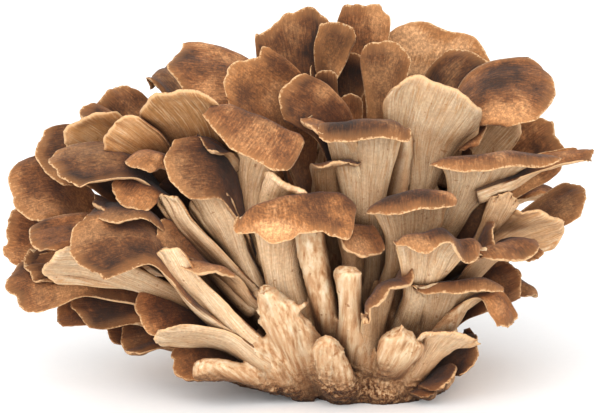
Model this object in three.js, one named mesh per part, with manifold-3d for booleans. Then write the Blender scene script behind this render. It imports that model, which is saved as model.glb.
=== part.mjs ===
// Maitake (hen of the woods), one fruiting body as it is sold: a fused core cut flat underneath,
// and the fronds that grow out of it. Millimetres, +Z up, origin at the middle of the cut base,
// -Y towards the side that is seen first.
import * as THREE from "three";
import { mergeVertices } from "three/addons/utils/BufferGeometryUtils.js";
import Module from "manifold-3d";

// ---- driving dimensions, mm
const GAP = 0.6; // split left between neighbouring pieces
const RIM = 1.6; // thickness of a cap at its edge
const THICKEST_STALK = 9;
const STALK_THICKNESS = 0.62; // of the stalk's width
const STALK_BOW = 12; // degrees a stalk's section is bowed by
const CORE_CENTRE = [13, 0];
const CORE_OUTLINE = [
  [-30, 5], [-24, -8], [-15, -17], [0, -24], [18, -35], [32, -42],
  [45, -36], [56, -21], [60, 0], [50, 28], [25, 40], [-5, 35], [-26, 22],
];
// height, and size of the section there against the cut face
const CORE_PROFILE = [[0, 1], [5, 1.07], [18, 1.09], [32, 1], [46, 0.78], [56, 0.45]];
const CORE_TOP = 61;
const BACK_AZIMUTHS = [16, 37, 59, 84, 107, 131, 156]; // degrees from +X, the unseen side
const WIDE_CAP = 30; // caps from this width up are modelled more finely
const FINE_STEPS = { along: [0, 0.3, 0.55, 0.76, 0.91, 1], across: 6 };
const COARSE_STEPS = { along: [0, 0.4, 0.68, 0.88, 1], across: 4 };
const BROWN = 0x8a5a35;
const TAN = 0xb58a5c;
const CREAM = 0xd9bd93;

const PLAIN = { cup: 0, droop: 0, ruffle: 0.8, waves: 3, bulge: 0.8, lobes: 0.8, flare: 0.5,
  thick: 0, pale: 0, skew: 0, coarse: false };
const STUB = { ruffle: 0.3, lobes: 0.5 };

// Every frond: its piece, the line down the middle of its upper side from root to rim, its width at
// the root, the neck and the cap, the way the cap's upper side faces, and what makes it its own
// (cup in degrees, droop and ruffle in mm, flare = where along it the cap starts).
const FRONDS = [
  // front of the cluster
  ["front_saddle", [[14, -22, 12], [0, -42, 34], [-7, -52, 57], [-6, -56, 75], [-4.5, -61, 86],
    [-3, -68, 90], [-1.5, -74, 88.4], [1, -84, 77.8]], [16, 15, 49], [0.13, -0.69, 0.7],
    { flare: 0.5, bulge: 0.3, pale: 0.35, cup: -14, ruffle: 0.8, waves: 4,
      reach: [-5, 6, 2.5, -1, -1, 1.5, 3.5, -2, -2], rise: [0, 1, 1, -1.5, -3.5] }],
  ["front_funnel", [[8, -18, 14], [-7, -39, 48], [-17, -43, 69], [-19.5, -44.5, 87],
    [-17.5, -50, 103], [-14.3, -57.4, 116], [-14.3, -63.9, 121], [-16.3, -68.4, 121],
    [-19.5, -73.2, 116.5], [-24.7, -77, 110.7]], [12, 13, 45], [0.06, -0.69, 0.73],
    { flare: 0.56, bulge: 0.25, droop: 1, cup: -18, ruffle: 0.8, rise: [-2, -1, 0, 0, 0] }],
  ["front_funnel", [[-25, -45, 98], [-30, -51, 105], [-37, -59, 110]], [6, 8, 13],
    [0.2, -0.3, 0.9], { flare: 0.25, pale: 0.5, bulge: 0.4 }],
  ["centre_tall", [[20, -20, 14], [24, -40, 46], [25, -50, 76], [25, -58, 104], [25, -61, 114],
    [25, -66, 120], [25, -73, 120], [25, -79, 115]], [14, 16, 36], [0, -0.4, 0.9],
    { flare: 0.57, bulge: 0.25, droop: 1, ruffle: 0.6, cup: -10, reach: [2, 0, 0, 1, 1] }],
  ["centre_tall", [[25, -52, 94], [17, -59, 112], [4, -71, 119]], [9, 9, 20], [-0.3, -0.5, 0.8],
    { flare: 0.3, pale: 0.5 }],
  ["right_centre_fan", [[26, -14, 16], [39, -32, 52], [47, -43, 88], [49, -49, 110],
    [57, -60, 134]], [14, 12, 42], [-0.1, 0.9, 0.4], { flare: 0.6, ruffle: 1.5, skew: 0.2 }],
  ["centre_right_roll", [[28, -24, 14], [34, -42, 40], [40, -54, 62], [43, -59, 75],
    [43, -63, 86], [42.5, -69, 92], [43, -77, 92], [43, -84, 88]], [13, 12, 39],
    [-0.1, -0.49, 0.86], { flare: 0.5, bulge: 0.35, cup: -22, droop: 1, ruffle: 1, waves: 2 }],
  ["right_mid_fold", [[34, -24, 12], [41, -44, 32], [46, -57, 48], [49, -64, 60], [51, -67, 70],
    [54, -73, 76], [56, -80, 76], [58, -86, 71]], [13, 12, 38], [0.2, -0.4, 0.9],
    { flare: 0.5, bulge: 0.3, cup: -14, ruffle: 2, waves: 3, rise: [-2, -4, 3, 3, -3],
      reach: [-2, 3, -2, 0, -4] }],
  ["right_saddle", [[28, -16, 16], [45, -32, 48], [60, -44, 76], [68, -50, 92], [71, -53, 101],
    [74, -59, 106], [76, -67, 107], [77, -73, 103]], [14, 12, 54], [0, -0.1, 1],
    { flare: 0.62, bulge: 0.25, cup: -16, droop: 1, ruffle: 1, waves: 2 }],
  ["right_saddle", [[68, -48, 90], [96, -44, 99], [116, -36, 101.5]], [13, 13, 7],
    [0.1, -0.5, 0.8], { flare: 0.2, bulge: 2, ruffle: 2.5 }],
  ["right_low_roll", [[34, -22, 10], [46, -40, 24], [54, -50, 38], [58, -54, 47], [60, -58, 53],
    [62, -64, 56], [62, -70, 53]], [12, 12, 38], [0, -0.2, 1],
    { bulge: 0.3, cup: -18, droop: 1, flare: 0.5, ruffle: 0.8 }],
  ["right_low_roll", [[50, -45, 31], [72, -54, 49], [84, -58, 36]], [9, 9, 11], [0.3, -0.6, 0.7],
    { flare: 0.3, lobes: 1.3 }],
  ["left_big_oval", [[4, -26, 12], [-18, -46, 28], [-40, -58, 46], [-60, -68, 72],
    [-89, -76, 69]], [14, 12, 27], [-0.15, -0.75, 0.65], { flare: 0.55 }],
  ["left_big_oval", [[2, -32, 12], [-14, -45, 25], [-30, -54, 39], [-44, -64, 55],
    [-53, -70, 70]], [18, 15, 17], [0.2, 0.6, 0.6], { flare: 0.4, pale: 0.9 }],
  ["centre_curl", [[24, -26, 10], [27, -46, 24], [29, -60, 40], [31, -66, 52], [36, -79, 54]],
    [11, 11, 30], [-0.4, -0.6, 0.7], { ruffle: 3, pale: 0.3 }],
  ["centre_cap", [[14, -14, 18], [16, -34, 60], [16, -48, 100], [11, -54, 118], [-6, -60, 131]],
    [10, 9, 21], [-0.1, -0.95, 0.3], { cup: 12 }],
  ["upper_mid_cap", [[10, -10, 18], [4, -28, 60], [0, -40, 100], [-8, -44, 122], [-26, -47, 137]],
    [11, 9, 30], [-0.1, -0.9, 0.4],
    { cup: 25, droop: -3, pale: 0.45, lobes: 1.4, reach: [2, 0, 1, -2, 2] }],
  ["left_mid_cap", [[4, -14, 14], [-14, -36, 50], [-22, -50, 79], [-32, -60, 99],
    [-52, -68, 100]], [10, 10, 27], [-0.3, -0.85, 0.5], {}],
  // upper left
  ["upper_left_big", [[6, -4, 18], [-4, -16, 60], [-8, -20, 98], [-18, -22, 126],
    [-48, -34, 136]], [12, 12, 42], [-0.1, -0.6, 0.8],
    { flare: 0.42, cup: -15, droop: 3, lobes: 1.6, reach: [0, -2, 3, -2, 2] }],
  ["upper_left_fan", [[2, -8, 16], [-22, -24, 55], [-36, -36, 86], [-43, -44, 112],
    [-54, -56, 131]], [12, 12, 42], [0, 0.6, 0.8],
    { droop: 3, cup: -10, reach: [1, 2, 2, -2, -9] }],
  ["left_fan_upper", [[-2, -8, 16], [-28, -22, 50], [-49, -36, 83], [-59, -44, 103],
    [-74, -52, 117]], [10, 10, 21], [-0.15, 0.85, 0.5], { droop: 2 }],
  ["left_fan_outer", [[-2, -6, 16], [-35, -14, 50], [-60, -20, 82], [-75, -28, 103],
    [-89, -38, 116]], [10, 10, 24], [-0.1, 0.85, 0.5], { droop: 2 }],
  ["left_behind_cap", [[0, 4, 18], [-35, 8, 58], [-58, 10, 92], [-79, 8, 115]], [10, 10, 28],
    [-0.2, -0.6, 0.75], {}],
  ["left_behind_cap", [[-45, 9, 74], [-68, -4, 102], [-86, -12, 112]], [8, 8, 20],
    [-0.2, -0.5, 0.85], {}],
  ["left_top_cap", [[0, -14, 20], [-28, -32, 56], [-50, -44, 82], [-68, -52, 101],
    [-97, -60, 100]], [11, 11, 26], [-0.1, -0.45, 0.9], { lobes: 1.2 }],
  ["left_top_cap", [[-40, -38, 70], [-58, -54, 92], [-68, -66, 86]], [10, 9, 20],
    [0.1, -0.7, 0.7], { pale: 0.4, flare: 0.3 }],
  ["left_upper_cap", [[-4, -6, 20], [-44, -16, 56], [-70, -22, 82], [-84, -26, 97],
    [-103, -32, 98]], [10, 10, 30], [-0.3, -0.75, 0.6], {}],
  ["left_arch", [[-2, -14, 24], [-24, -32, 62], [-42, -44, 92], [-56, -56, 106], [-66, -66, 104]],
    [8, 8, 18], [0, -0.3, 0.95], { cup: -45, pale: 0.4, droop: 2 }],
  ["left_arch", [[-24, -32, 60], [-44, -42, 76], [-59, -50, 86]], [8, 8, 19], [-0.1, -0.9, 0.4],
    {}],
  // far left
  ["far_left_upper", [[-6, -4, 16], [-50, -10, 48], [-80, -14, 68], [-96, -18, 83],
    [-115, -22, 81]], [10, 10, 33], [-0.2, -0.7, 0.65], {}],
  ["far_left", [[-6, -2, 12], [-50, -4, 36], [-85, -6, 55], [-118, -8, 65]], [10, 9, 27],
    [-0.2, -0.8, 0.5], { lobes: 1.6 }],
  ["far_left", [[-50, -4, 34], [-80, -22, 50], [-109, -32, 55]], [8, 8, 17], [-0.1, -0.5, 0.8],
    { ruffle: 2.5, waves: 5 }],
  ["left_mid_lip", [[-2, -14, 16], [-34, -30, 42], [-60, -40, 60], [-78, -46, 73],
    [-106, -54, 70]], [10, 9, 21], [-0.1, -0.45, 0.88], {}],
  ["left_roll", [[-4, -16, 18], [-30, -34, 44], [-52, -46, 68], [-66, -54, 85], [-79, -66, 84]],
    [9, 9, 34], [0, 0.1, 1], { cup: -35, droop: 2 }],
  ["left_roll", [[-30, -34, 42], [-58, -46, 71], [-80, -56, 86]], [8, 8, 20], [0, -0.2, 0.95],
    { pale: 0.5, lobes: 1.4 }],
  ["left_low_fan", [[2, -20, 10], [-30, -38, 36], [-60, -46, 50], [-84, -50, 59],
    [-101, -54, 62]], [13, 11, 21], [-0.1, 0.7, 0.6], { droop: 2 }],
  ["far_left_low", [[-2, -8, 12], [-40, -20, 30], [-70, -28, 44], [-90, -32, 51],
    [-115, -36, 44]], [10, 9, 25], [-0.1, -0.75, 0.6], { lobes: 2 }],
  ["far_left_low", [[-40, -20, 28], [-70, -20, 32], [-97, -22, 33]], [8, 8, 14],
    [-0.1, -0.6, 0.7], { pale: 0.5 }],
  ["left_low_dark", [[-4, -6, 10], [-36, -16, 26], [-62, -22, 37], [-90, -26, 40]], [10, 10, 22],
    [-0.1, -0.9, 0.4], { lobes: 1.3 }],
  ["left_low_fold", [[0, -20, 8], [-28, -36, 26], [-46, -44, 40], [-64, -52, 40]], [9, 9, 25],
    [0.1, -0.8, 0.5], {}],
  ["left_low_tongue", [[4, -28, 8], [-14, -44, 20], [-34, -54, 30], [-57, -62, 34]], [20, 17, 18],
    [0, 0.6, 0.7], { pale: 0.9 }],
  ["left_small_roll", [[0, -26, 20], [-18, -46, 42], [-34, -58, 60], [-40, -74, 62]], [9, 9, 26],
    [0, -0.5, 0.9], { pale: 0.8 }],
  ["left_small_roll", [[-18, -46, 40], [-40, -54, 64], [-55, -62, 76]], [8, 8, 16],
    [0, -0.7, 0.6], { pale: 0.6, ruffle: 2 }],
  ["left_stalks", [[2, -24, 16], [-14, -42, 42], [-36, -54, 66], [-46, -58, 78], [-53, -62, 90]],
    [12, 10, 12], [0.3, 0.6, 0.6], { pale: 0.9 }],
  ["left_stalks", [[-10, -37, 36], [-28, -52, 70], [-38, -58, 90]], [12, 11, 19], [0, 0.6, 0.6],
    { pale: 0.9 }],
  // right
  ["right_lobe_cap", [[26, -6, 18], [46, -20, 60], [56, -28, 98], [66, -34, 121], [82, -38, 127],
    [99, -42, 123]], [11, 11, 36], [0.25, -0.65, 0.7], { flare: 0.5, cup: -10 }],
  ["right_lobe_cap", [[56, -28, 88], [62, -34, 106], [72, -40, 116]], [9, 9, 22],
    [0.2, -0.6, 0.8], { flare: 0.25 }],
  ["right_back_cap", [[22, 6, 18], [40, 6, 62], [54, 2, 98], [62, 0, 116], [76, -4, 128]],
    [10, 10, 34], [0.1, -0.75, 0.6], {}],
  ["top_right_fan", [[22, 8, 18], [34, 16, 62], [44, 22, 100], [51, 26, 119], [60, 30, 139]],
    [11, 10, 50], [-0.2, -0.9, 0.35], { pale: 0.8, reach: [0, 0, 0, 3, 3] }],
  ["right_fan_upper", [[24, -4, 18], [50, -8, 60], [68, -12, 94], [82, -22, 115]], [9, 9, 24],
    [0.3, 0.6, 0.7], {}],
  ["right_fan_upper", [[46, -8, 54], [58, -28, 86], [67, -34, 100]], [8, 8, 20], [0.1, -0.7, 0.7],
    {}],
  ["right_edge_cap", [[28, 0, 18], [60, 2, 58], [82, 2, 84], [103, 0, 101]], [9, 9, 26],
    [0.2, -0.8, 0.5], { lobes: 1.5 }],
  ["right_tongue", [[34, 0, 22], [64, -10, 48], [86, -16, 66], [113, -20, 82]], [10, 9, 18],
    [0.2, -0.5, 0.8], {}],
  ["right_low_fan", [[36, -8, 20], [62, -22, 46], [80, -28, 64], [102, -36, 77]], [10, 9, 30],
    [0.1, 0.6, 0.8], { droop: 2 }],
  ["right_stalks", [[36, -14, 30], [58, -28, 54], [68, -38, 72], [73, -46, 88]], [9, 9, 11],
    [0.2, -1, 0.2], { pale: 0.8 }],
  ["right_stalks", [[56, -27, 51], [72, -40, 68], [82, -50, 88]], [8, 7, 12], [0.1, 0.4, 0.9],
    { pale: 0.5 }],
  ["right_stalks", [[57, -27, 51], [68, -46, 62], [75, -58, 74]], [8, 8, 15], [0, -0.7, 0.7], {}],
  ["right_mid_fan", [[36, -18, 14], [54, -36, 34], [67, -47, 54], [78, -54, 69], [87, -66, 68]],
    [12, 11, 30], [0.1, -0.3, 0.9], { cup: -15, droop: 2 }],
  ["right_mid_fan", [[54, -36, 34], [78, -42, 64], [96, -46, 66]], [8, 8, 13], [0.2, -0.4, 0.9],
    { droop: 3 }],
  ["right_disc", [[36, -12, 12], [56, -26, 28], [70, -34, 42], [86, -42, 53]], [9, 9, 19],
    [0.1, -0.95, 0.3], {}],
  ["right_bottom_fan", [[36, -24, 6], [46, -42, 16], [54, -54, 27], [61, -66, 38]], [12, 12, 27],
    [0, 0.4, 0.9], { droop: 2 }],
  ["right_bottom_lip", [[38, -16, 6], [54, -30, 14], [70, -42, 24]], [10, 10, 20],
    [0.1, -0.7, 0.7], {}],
  // crown
  ["crown_left", [[12, 6, 18], [8, 4, 62], [6, 0, 102], [2, 0, 124], [-2, 2, 150]], [11, 10, 36],
    [-0.1, -0.9, 0.4], { flare: 0.7, lobes: 2.2, cup: 15 }],
  ["crown_left", [[6, 1, 96], [11, -8, 130], [17, -10, 148]], [8, 8, 14], [0.2, -0.8, 0.5],
    { flare: 0.3, pale: 0.5 }],
  ["crown_right", [[16, 8, 18], [18, 14, 62], [21, 18, 104], [24, 20, 126], [26, 22, 151]],
    [9, 9, 21], [0, -0.95, 0.3], { flare: 0.7, lobes: 1.5 }],
  ["crown_right", [[18, 14, 60], [14, 30, 108], [14, 38, 138]], [9, 9, 18], [0, -0.9, 0.4],
    { pale: 0.4 }],
  ["crown_cup", [[18, -4, 18], [24, -10, 60], [29, -12, 98], [32, -12, 118], [34, -12, 141]],
    [9, 9, 20], [-0.15, -0.95, 0.25], { flare: 0.75, cup: 20 }],
  ["crown_cup", [[26, -11, 72], [20, -3, 100], [17, 2, 118], [17, 4, 134]], [9, 9, 28],
    [0, -1, 0.1], { flare: 0.6, cup: 50 }],
  // stubs, buds and broken stalks low on the core
  ["core", [[26, -26, 10], [22, -48, 28], [20, -62, 46], [18, -74, 64]], [20, 9, 11],
    [0, 0.6, 0.8], { thick: 8, flare: 0.8, pale: 1 }],
  ["core", [[20, -24, 12], [12, -46, 36], [8, -56, 54], [4, -61, 78]], [11, 10, 11],
    [0, 0.7, 0.7], { thick: 8, pale: 1 }],
  ["core", [[12, -28, 8], [2, -46, 24], [-6, -58, 38], [-14, -65, 53]], [22, 22, 18],
    [0, 0.7, 0.7], { pale: 0.8, bulge: 0.9, lobes: 1.4, reach: [-7, -1, 3, -4, -7] }],
  ["core", [[18, -32, 6], [14, -52, 17], [10, -66, 34]], [17, 14, 12], [0, 0.7, 0.7],
    { pale: 1, reach: [-4, -1, 1, 0, -2] }],
  ["core", [[30, -28, 8], [36, -47, 18], [38, -60, 27], [40, -68, 37]], [15, 13, 16],
    [0, 0.5, 0.6], { pale: 0.8, thick: 5, cup: 20, ruffle: 1, waves: 3, reach: [-3, 0, 2, 0, -2] }],
  ["core", [[6, -28, 6], [-10, -40, 11], [-24, -48, 17], [-42, -54, 20]], [10, 10, 12],
    [0, 0.6, 0.8], { pale: 1 }],
  ["core", [[0, -16, 5], [-24, -30, 13], [-38, -38, 18], [-50, -42, 15]], [10, 10, 20],
    [-0.1, -0.7, 0.7], { pale: 0.6, lobes: 1.5 }],
  ["core", [[-2, -8, 6], [-34, -14, 16], [-56, -18, 23], [-71, -22, 21]], [9, 9, 17],
    [0, -0.6, 0.8], { pale: 0.3, ruffle: 2 }],
  ["core", [[-4, 2, 6], [-40, -2, 15], [-60, -4, 21], [-77, -8, 23]], [8, 7, 12],
    [-0.1, -0.8, 0.5], {}],
  ["core", [[38, -26, 4], [50, -40, 10], [60, -50, 14]], [8, 8, 15], [0.1, -0.7, 0.7], {}],
  ["core", [[36, -26, 6], [46, -38, 7], [55, -44, 7]], [8, 8, 12], [0.1, -0.5, 0.8], { thick: 5 }],
  ["core", [[26, -22, 30], [40, -38, 62], [49, -44, 92]], [9, 9, 11], [0, -1, 0.2],
    { thick: 7, pale: 0.8 }],
  ["core", [[34, -28, 40], [50, -44, 66], [57, -50, 84]], [8, 7, 8], [0, -1, 0.2],
    { thick: 6, pale: 0.6 }],
  ["core", [[24, -14, 20], [31, -36, 55], [35, -46, 85], [37, -55, 113]], [13, 10, 11],
    [-0.3, -0.9, 0.2], { pale: 1 }],
  ["core", [[13, -12, 50], [12, -24, 100], [10, -32, 133]], [8, 7, 9], [0, -1, 0], { thick: 6 }],
  ["core", [[18, -16, 50], [20, -30, 96], [20, -36, 124]], [8, 7, 9], [0, -1, 0], { thick: 6 }],
  ["core", [[2, -24, 30], [-16, -44, 56], [-24, -53, 70], [-31, -58, 82]], [7, 6, 7], [0, -1, 0],
    { pale: 1, thick: 5 }],
  ["core", [[20, -28, 24], [21, -48, 54], [21, -60, 77], [27, -74, 67]], [9, 8, 18],
    [0.4, -0.6, 0.6], { pale: 0.6, lobes: 1.5 }],
  ["centre_pleat", [[14, -24, 34], [13, -44, 76], [13, -54, 98], [16, -68, 104]], [9, 9, 19],
    [0.1, -0.4, 0.9], { pale: 0.6 }],
  ["front_funnel", [[-14, -42, 58], [-13, -46, 71], [-8.5, -55, 85], [-4, -67, 96]], [9, 10, 20],
    [0.4, 0.7, 0.6], { flare: 0.25, bulge: 0.2, ruffle: 0.4, lobes: 0.4 }],
];

// ---- fronds round the back, four caps to each stalk
function backFronds() {
  const all = [];
  BACK_AZIMUTHS.forEach((azimuth, i) => {
    const vary = Math.sin(i * 2.4);
    const lift = 8 * Math.sin(i * 3.9 + 1);
    const at = (radius, height, turn = 0) => {
      const a = THREE.MathUtils.degToRad(azimuth + turn);
      return [CORE_CENTRE[0] + radius * Math.cos(a), 3 + radius * Math.sin(a), height];
    };
    const cap = (path, width, turn, own) => {
      const a = THREE.MathUtils.degToRad(azimuth + turn);
      all.push([`back_frond_${i + 1}`, path, width, [0.45 * Math.cos(a), 0.45 * Math.sin(a), 0.8],
        { lobes: 1.3, ruffle: 1.5, coarse: true, ...own }]);
    };
    cap([at(16, 16), at(34, 56), at(46 + 3 * vary, 90), at(59 + 5 * vary, 111 + 6 * vary),
      at(70 + 4 * vary, 117 + 6 * vary), at(77 + 3 * vary, 111 + 5 * vary)],
    [14, 12, 38 + 5 * vary], 0, { cup: -12 });
    cap([at(36, 62), at(56, 82, 5), at(76 - 4 * vary, 96 - 3 * vary, 8),
      at(87 - 4 * vary, 95 - 3 * vary, 10), at(94 - 4 * vary, 86 - 3 * vary, 11)],
    [12, 10, 37 - 4 * vary], 8, { cup: -10 });
    cap([at(34, 56), at(62, 62 + lift / 2, -3), at(84 + 2 * vary, 68 + lift, -6),
      at(95 + 2 * vary, 61 + lift, -8)], [12, 10, 40 + 3 * vary], -6, {});
    cap([at(35, 57), at(58, 46, 4), at(80 + 4 * vary, 39 - lift / 2, 8),
      at(88 + 4 * vary, 31 - lift / 2, 9)], [12, 11, 38 - 3 * vary], 8, {});
  });
  return all;
}

// ---- the surface of a frond
const smooth = (t) => {
  const c = Math.min(Math.max(t, 0), 1);
  return c * c * (3 - 2 * c);
};
const clamp = (t, low, high) => Math.min(Math.max(t, low), high);
const phase = (seed, k) => {
  const s = Math.sin(seed * 12.9898 + k * 78.233) * 43758.5453;
  return 2 * Math.PI * (s - Math.floor(s));
};

// The middle line with the direction along it and the direction its upper side faces. That starts
// towards the middle of the cluster and turns to the cap's own direction on the way.
function middleLine(path, face) {
  const steps = 60;
  const curve = new THREE.CatmullRomCurve3(path.map((p) => new THREE.Vector3(...p)), false,
    "catmullrom", 0.5);
  curve.arcLengthDivisions = 400;
  const points = curve.getSpacedPoints(steps);
  const along = points.map((p, i) => {
    const a = points[Math.max(i - 1, 0)];
    const b = points[Math.min(i + 1, steps)];
    return b.clone().sub(a).normalize();
  });
  const outward = points[steps].clone().sub(points[0]).setZ(0);
  const start = outward.length() > 1 ? outward.normalize().negate() : new THREE.Vector3(0, -1, 0);
  const up = [];
  let last = start;
  along.forEach((t) => {
    last = last.clone().addScaledVector(t, -last.dot(t)).normalize();
    up.push(last);
  });
  const end = along[steps];
  const wanted = new THREE.Vector3(...face);
  wanted.addScaledVector(end, -wanted.dot(end)).normalize();
  const side = end.clone().cross(up[steps]);
  const turn = Math.atan2(wanted.dot(side), wanted.dot(up[steps]));
  const turned = up.map((n, i) => {
    const angle = turn * smooth((i / steps - 0.1) / 0.75);
    return n.clone().multiplyScalar(Math.cos(angle))
      .addScaledVector(along[i].clone().cross(n), Math.sin(angle));
  });
  return { points, along, up: turned, length: curve.getLength(), steps };
}

function placeOn(line, distance) {
  const at = Math.max(distance / line.length, 0) * line.steps;
  const i = clamp(Math.floor(at), 0, line.steps - 1);
  const f = Math.min(at - i, 3);
  const g = Math.min(f, 1);
  const mix = (list, k) => list[i].clone().multiplyScalar(1 - k).addScaledVector(list[i + 1], k);
  const along = mix(line.along, g).normalize();
  const up = mix(line.up, g);
  up.addScaledVector(along, -up.dot(along)).normalize();
  return { point: mix(line.points, f), along, up, side: along.clone().cross(up) };
}

const EDGE_WAVES = [[2, 0.35], [3, 0.5], [5, 0.45], [8, 0.35], [13, 0.2]];

// The value at a place across a frond, of a few that are evenly spaced from side to side.
function between(values, across) {
  if (!values) return 0;
  const x = ((across + 1) / 2) * (values.length - 1);
  const i = Math.min(Math.floor(x), values.length - 2);
  return values[i] + (values[i + 1] - values[i]) * smooth(x - i);
}

// A narrow cap is crumpled less than a wide one.
const crumpled = (frond) => Math.min(1, frond.width[2] / 28);

// Half the width of a frond: root to neck along the stalk, then opening into the cap.
function halfWidth(frond, u, s) {
  const [root, neck, cap] = frond.width.map((w) => w / 2);
  const { flare } = frond.shape;
  if (u < flare) return root + (neck - root) * smooth(u / flare);
  return neck + (cap - neck) * (0.55 * smooth(s) + 0.45 * Math.sin((s * Math.PI) / 2));
}

// How far along the middle line a point lies: the cap's front is round, lobed and reaches out.
function distanceAlong(frond, length, u, s, angle) {
  const { shape, seed } = frond;
  const across = Math.sin(angle);
  const cap = frond.width[2] / 2;
  const edge = EDGE_WAVES.reduce((sum, [k, a]) => sum + a * Math.sin(k * angle + phase(seed, k)), 0);
  const round = shape.bulge * cap * (1 - Math.cos(angle)) - shape.skew * across * cap;
  return length * u - round * s ** 1.5 + shape.lobes * crumpled(frond) * edge * s ** 4
    + between(shape.reach, across) * s ** 1.5;
}

// How far the cap leaves its even bow: its own rise, a turned-down lip and the waves of its edge.
function liftOf(frond, u, s, angle, capness) {
  const { shape, seed } = frond;
  const across = Math.sin(angle);
  const near = (from, sides) => {
    const a = clamp((u - from) / (1 - from), 0, 1);
    const b = clamp((Math.abs(across) - sides) / (1 - sides), 0, 1) * capness * smooth(s);
    return 1 - (1 - a) * (1 - b);
  };
  const wide = near(0.45, 0.3);
  const ruffle = shape.ruffle * crumpled(frond);
  return between(shape.rise, across) * wide ** 1.5 - shape.droop * near(0.7, 0.72) ** 2
    + ruffle * wide ** 1.6 * Math.sin(shape.waves * angle + phase(seed, 21))
    + 0.35 * ruffle * wide ** 2 * Math.sin((2 * shape.waves + 1) * angle + phase(seed, 22));
}

// The stalk is thick in the middle; the cap and its wings are thin.
function thicknessOf(frond, u, s, angle, capness) {
  const stalk = frond.shape.thick || Math.min(THICKEST_STALK, STALK_THICKNESS * frond.width[1]);
  const wings = smooth(s / 0.4) * clamp(1.6 * Math.abs(Math.sin(angle)), 0, 1);
  const thin = Math.max(smooth((u - 0.15) / 0.6), wings);
  return (stalk + (1.5 * RIM - stalk) * thin) * Math.cos(angle) ** (0.9 - 0.6 * thin * capness);
}

// A point of the upper side and the thickness under it; u runs root to rim, v from -1 to 1 across.
function pointOn(frond, line, u, v) {
  const { shape } = frond;
  const angle = (v * Math.PI) / 2;
  const across = Math.sin(angle);
  const s = clamp((u - shape.flare) / (1 - shape.flare), 0, 1);
  const half = halfWidth(frond, u, s);
  const { point, up, side } = placeOn(line, distanceAlong(frond, line.length, u, s, angle));
  const capness = smooth((u - 0.25) / 0.6);
  const bow = THREE.MathUtils.degToRad(shape.cup * capness + STALK_BOW * (1 - capness)) || 1e-4;
  const rise = (half * (1 - Math.cos(bow * across))) / bow;
  point.addScaledVector(side, (half * Math.sin(bow * across)) / bow);
  point.addScaledVector(up, rise + liftOf(frond, u, s, angle, capness));
  return { point, thickness: thicknessOf(frond, u, s, angle, capness) };
}

// ---- closed shells
function shell(positions, triangles) {
  const geometry = new THREE.BufferGeometry();
  geometry.setAttribute("position", new THREE.Float32BufferAttribute(positions, 3));
  geometry.setIndex(triangles);
  return geometry;
}

// The upper and lower side at every point of the grid; they share the rim.
function bothSides(grid, grow) {
  const [rows, columns] = [grid.length - 1, grid[0].length - 1];
  const at = (i, j) => grid[clamp(i, 0, rows)][clamp(j, 0, columns)].point;
  const top = [];
  const under = [];
  grid.forEach((row, i) => row.forEach(({ point, thickness }, j) => {
    const along = at(i + 1, j).clone().sub(at(i - 1, j)).normalize();
    const across = at(i, j + 1).clone().sub(at(i, j - 1)).normalize();
    const up = across.clone().cross(along).normalize();
    const onRim = j === 0 || j === columns || i === rows;
    const shifted = point.clone();
    if (i === rows) shifted.addScaledVector(along, grow);
    if (j === 0) shifted.addScaledVector(across, -grow);
    if (j === columns) shifted.addScaledVector(across, grow);
    top.push(onRim ? shifted : shifted.clone().addScaledVector(up, grow));
    under.push(onRim ? shifted : shifted.clone().addScaledVector(up, -thickness - grow));
  }));
  return [...top, ...under];
}

// Triangles of the two sides, joined at the rim and closed by a flat end at the root.
function sidesTriangles(rows, columns) {
  const width = columns + 1;
  const high = (i, j) => i * width + j;
  const low = (i, j) => (j === 0 || j === columns || i === rows ? 0 : (rows + 1) * width) + high(i, j);
  const triangles = [];
  const face = (a, b, c) => {
    if (a !== b && b !== c && a !== c) triangles.push(a, b, c);
  };
  for (let i = 0; i < rows; i += 1) {
    for (let j = 0; j < columns; j += 1) {
      const corners = (of) => [of(i, j), of(i, j + 1), of(i + 1, j + 1), of(i + 1, j)];
      const [a, b, c, d] = corners(high);
      const [e, f, g, h] = corners(low);
      if (j < columns / 2) {
        face(a, b, d); face(b, c, d); face(e, h, f); face(f, h, g);
      } else {
        face(a, b, c); face(a, c, d); face(e, g, f); face(e, h, g);
      }
    }
  }
  for (let j = 0; j < columns; j += 1) {
    face(high(0, j + 1), high(0, j), low(0, j));
    face(high(0, j + 1), low(0, j), low(0, j + 1));
  }
  return triangles;
}

// The closed shell of a frond; grow makes it larger all round, to cut its neighbours with.
function frondShell(frond, grow = 0) {
  const line = middleLine(frond.path, frond.face);
  const fine = frond.width[2] >= WIDE_CAP && !frond.shape.coarse;
  const steps = fine ? FINE_STEPS : COARSE_STEPS;
  const columns = steps.across;
  const grid = steps.along.map((u) => Array.from({ length: columns + 1 }, (_, j) =>
    pointOn(frond, line, u, (2 * j) / columns - 1)));
  const corners = bothSides(grid, grow);
  return shell(corners.flatMap((p) => p.toArray()), sidesTriangles(grid.length - 1, columns));
}

function coreShell(grow = 0) {
  const count = CORE_OUTLINE.length;
  const [cx, cy] = CORE_CENTRE;
  const positions = [];
  CORE_PROFILE.forEach(([z, size], k) => {
    CORE_OUTLINE.forEach(([x, y]) => {
      const reach = Math.hypot(x - cx, y - cy);
      const s = size + grow / reach;
      positions.push(cx + (x - cx) * s, cy + (y - cy) * s, k === 0 ? -grow : z);
    });
  });
  const bottom = positions.length / 3;
  positions.push(cx, cy, -grow, cx, cy, CORE_TOP + grow);
  const triangles = [];
  for (let i = 0; i < count; i += 1) {
    const j = (i + 1) % count;
    triangles.push(bottom, j, i);
    for (let k = 0; k < CORE_PROFILE.length - 1; k += 1) {
      const [a, b] = [k * count + i, k * count + j];
      triangles.push(a, b, b + count, a, b + count, a + count);
    }
    const last = (CORE_PROFILE.length - 1) * count;
    triangles.push(last + i, last + j, bottom + 1);
  }
  return shell(positions, triangles);
}

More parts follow.
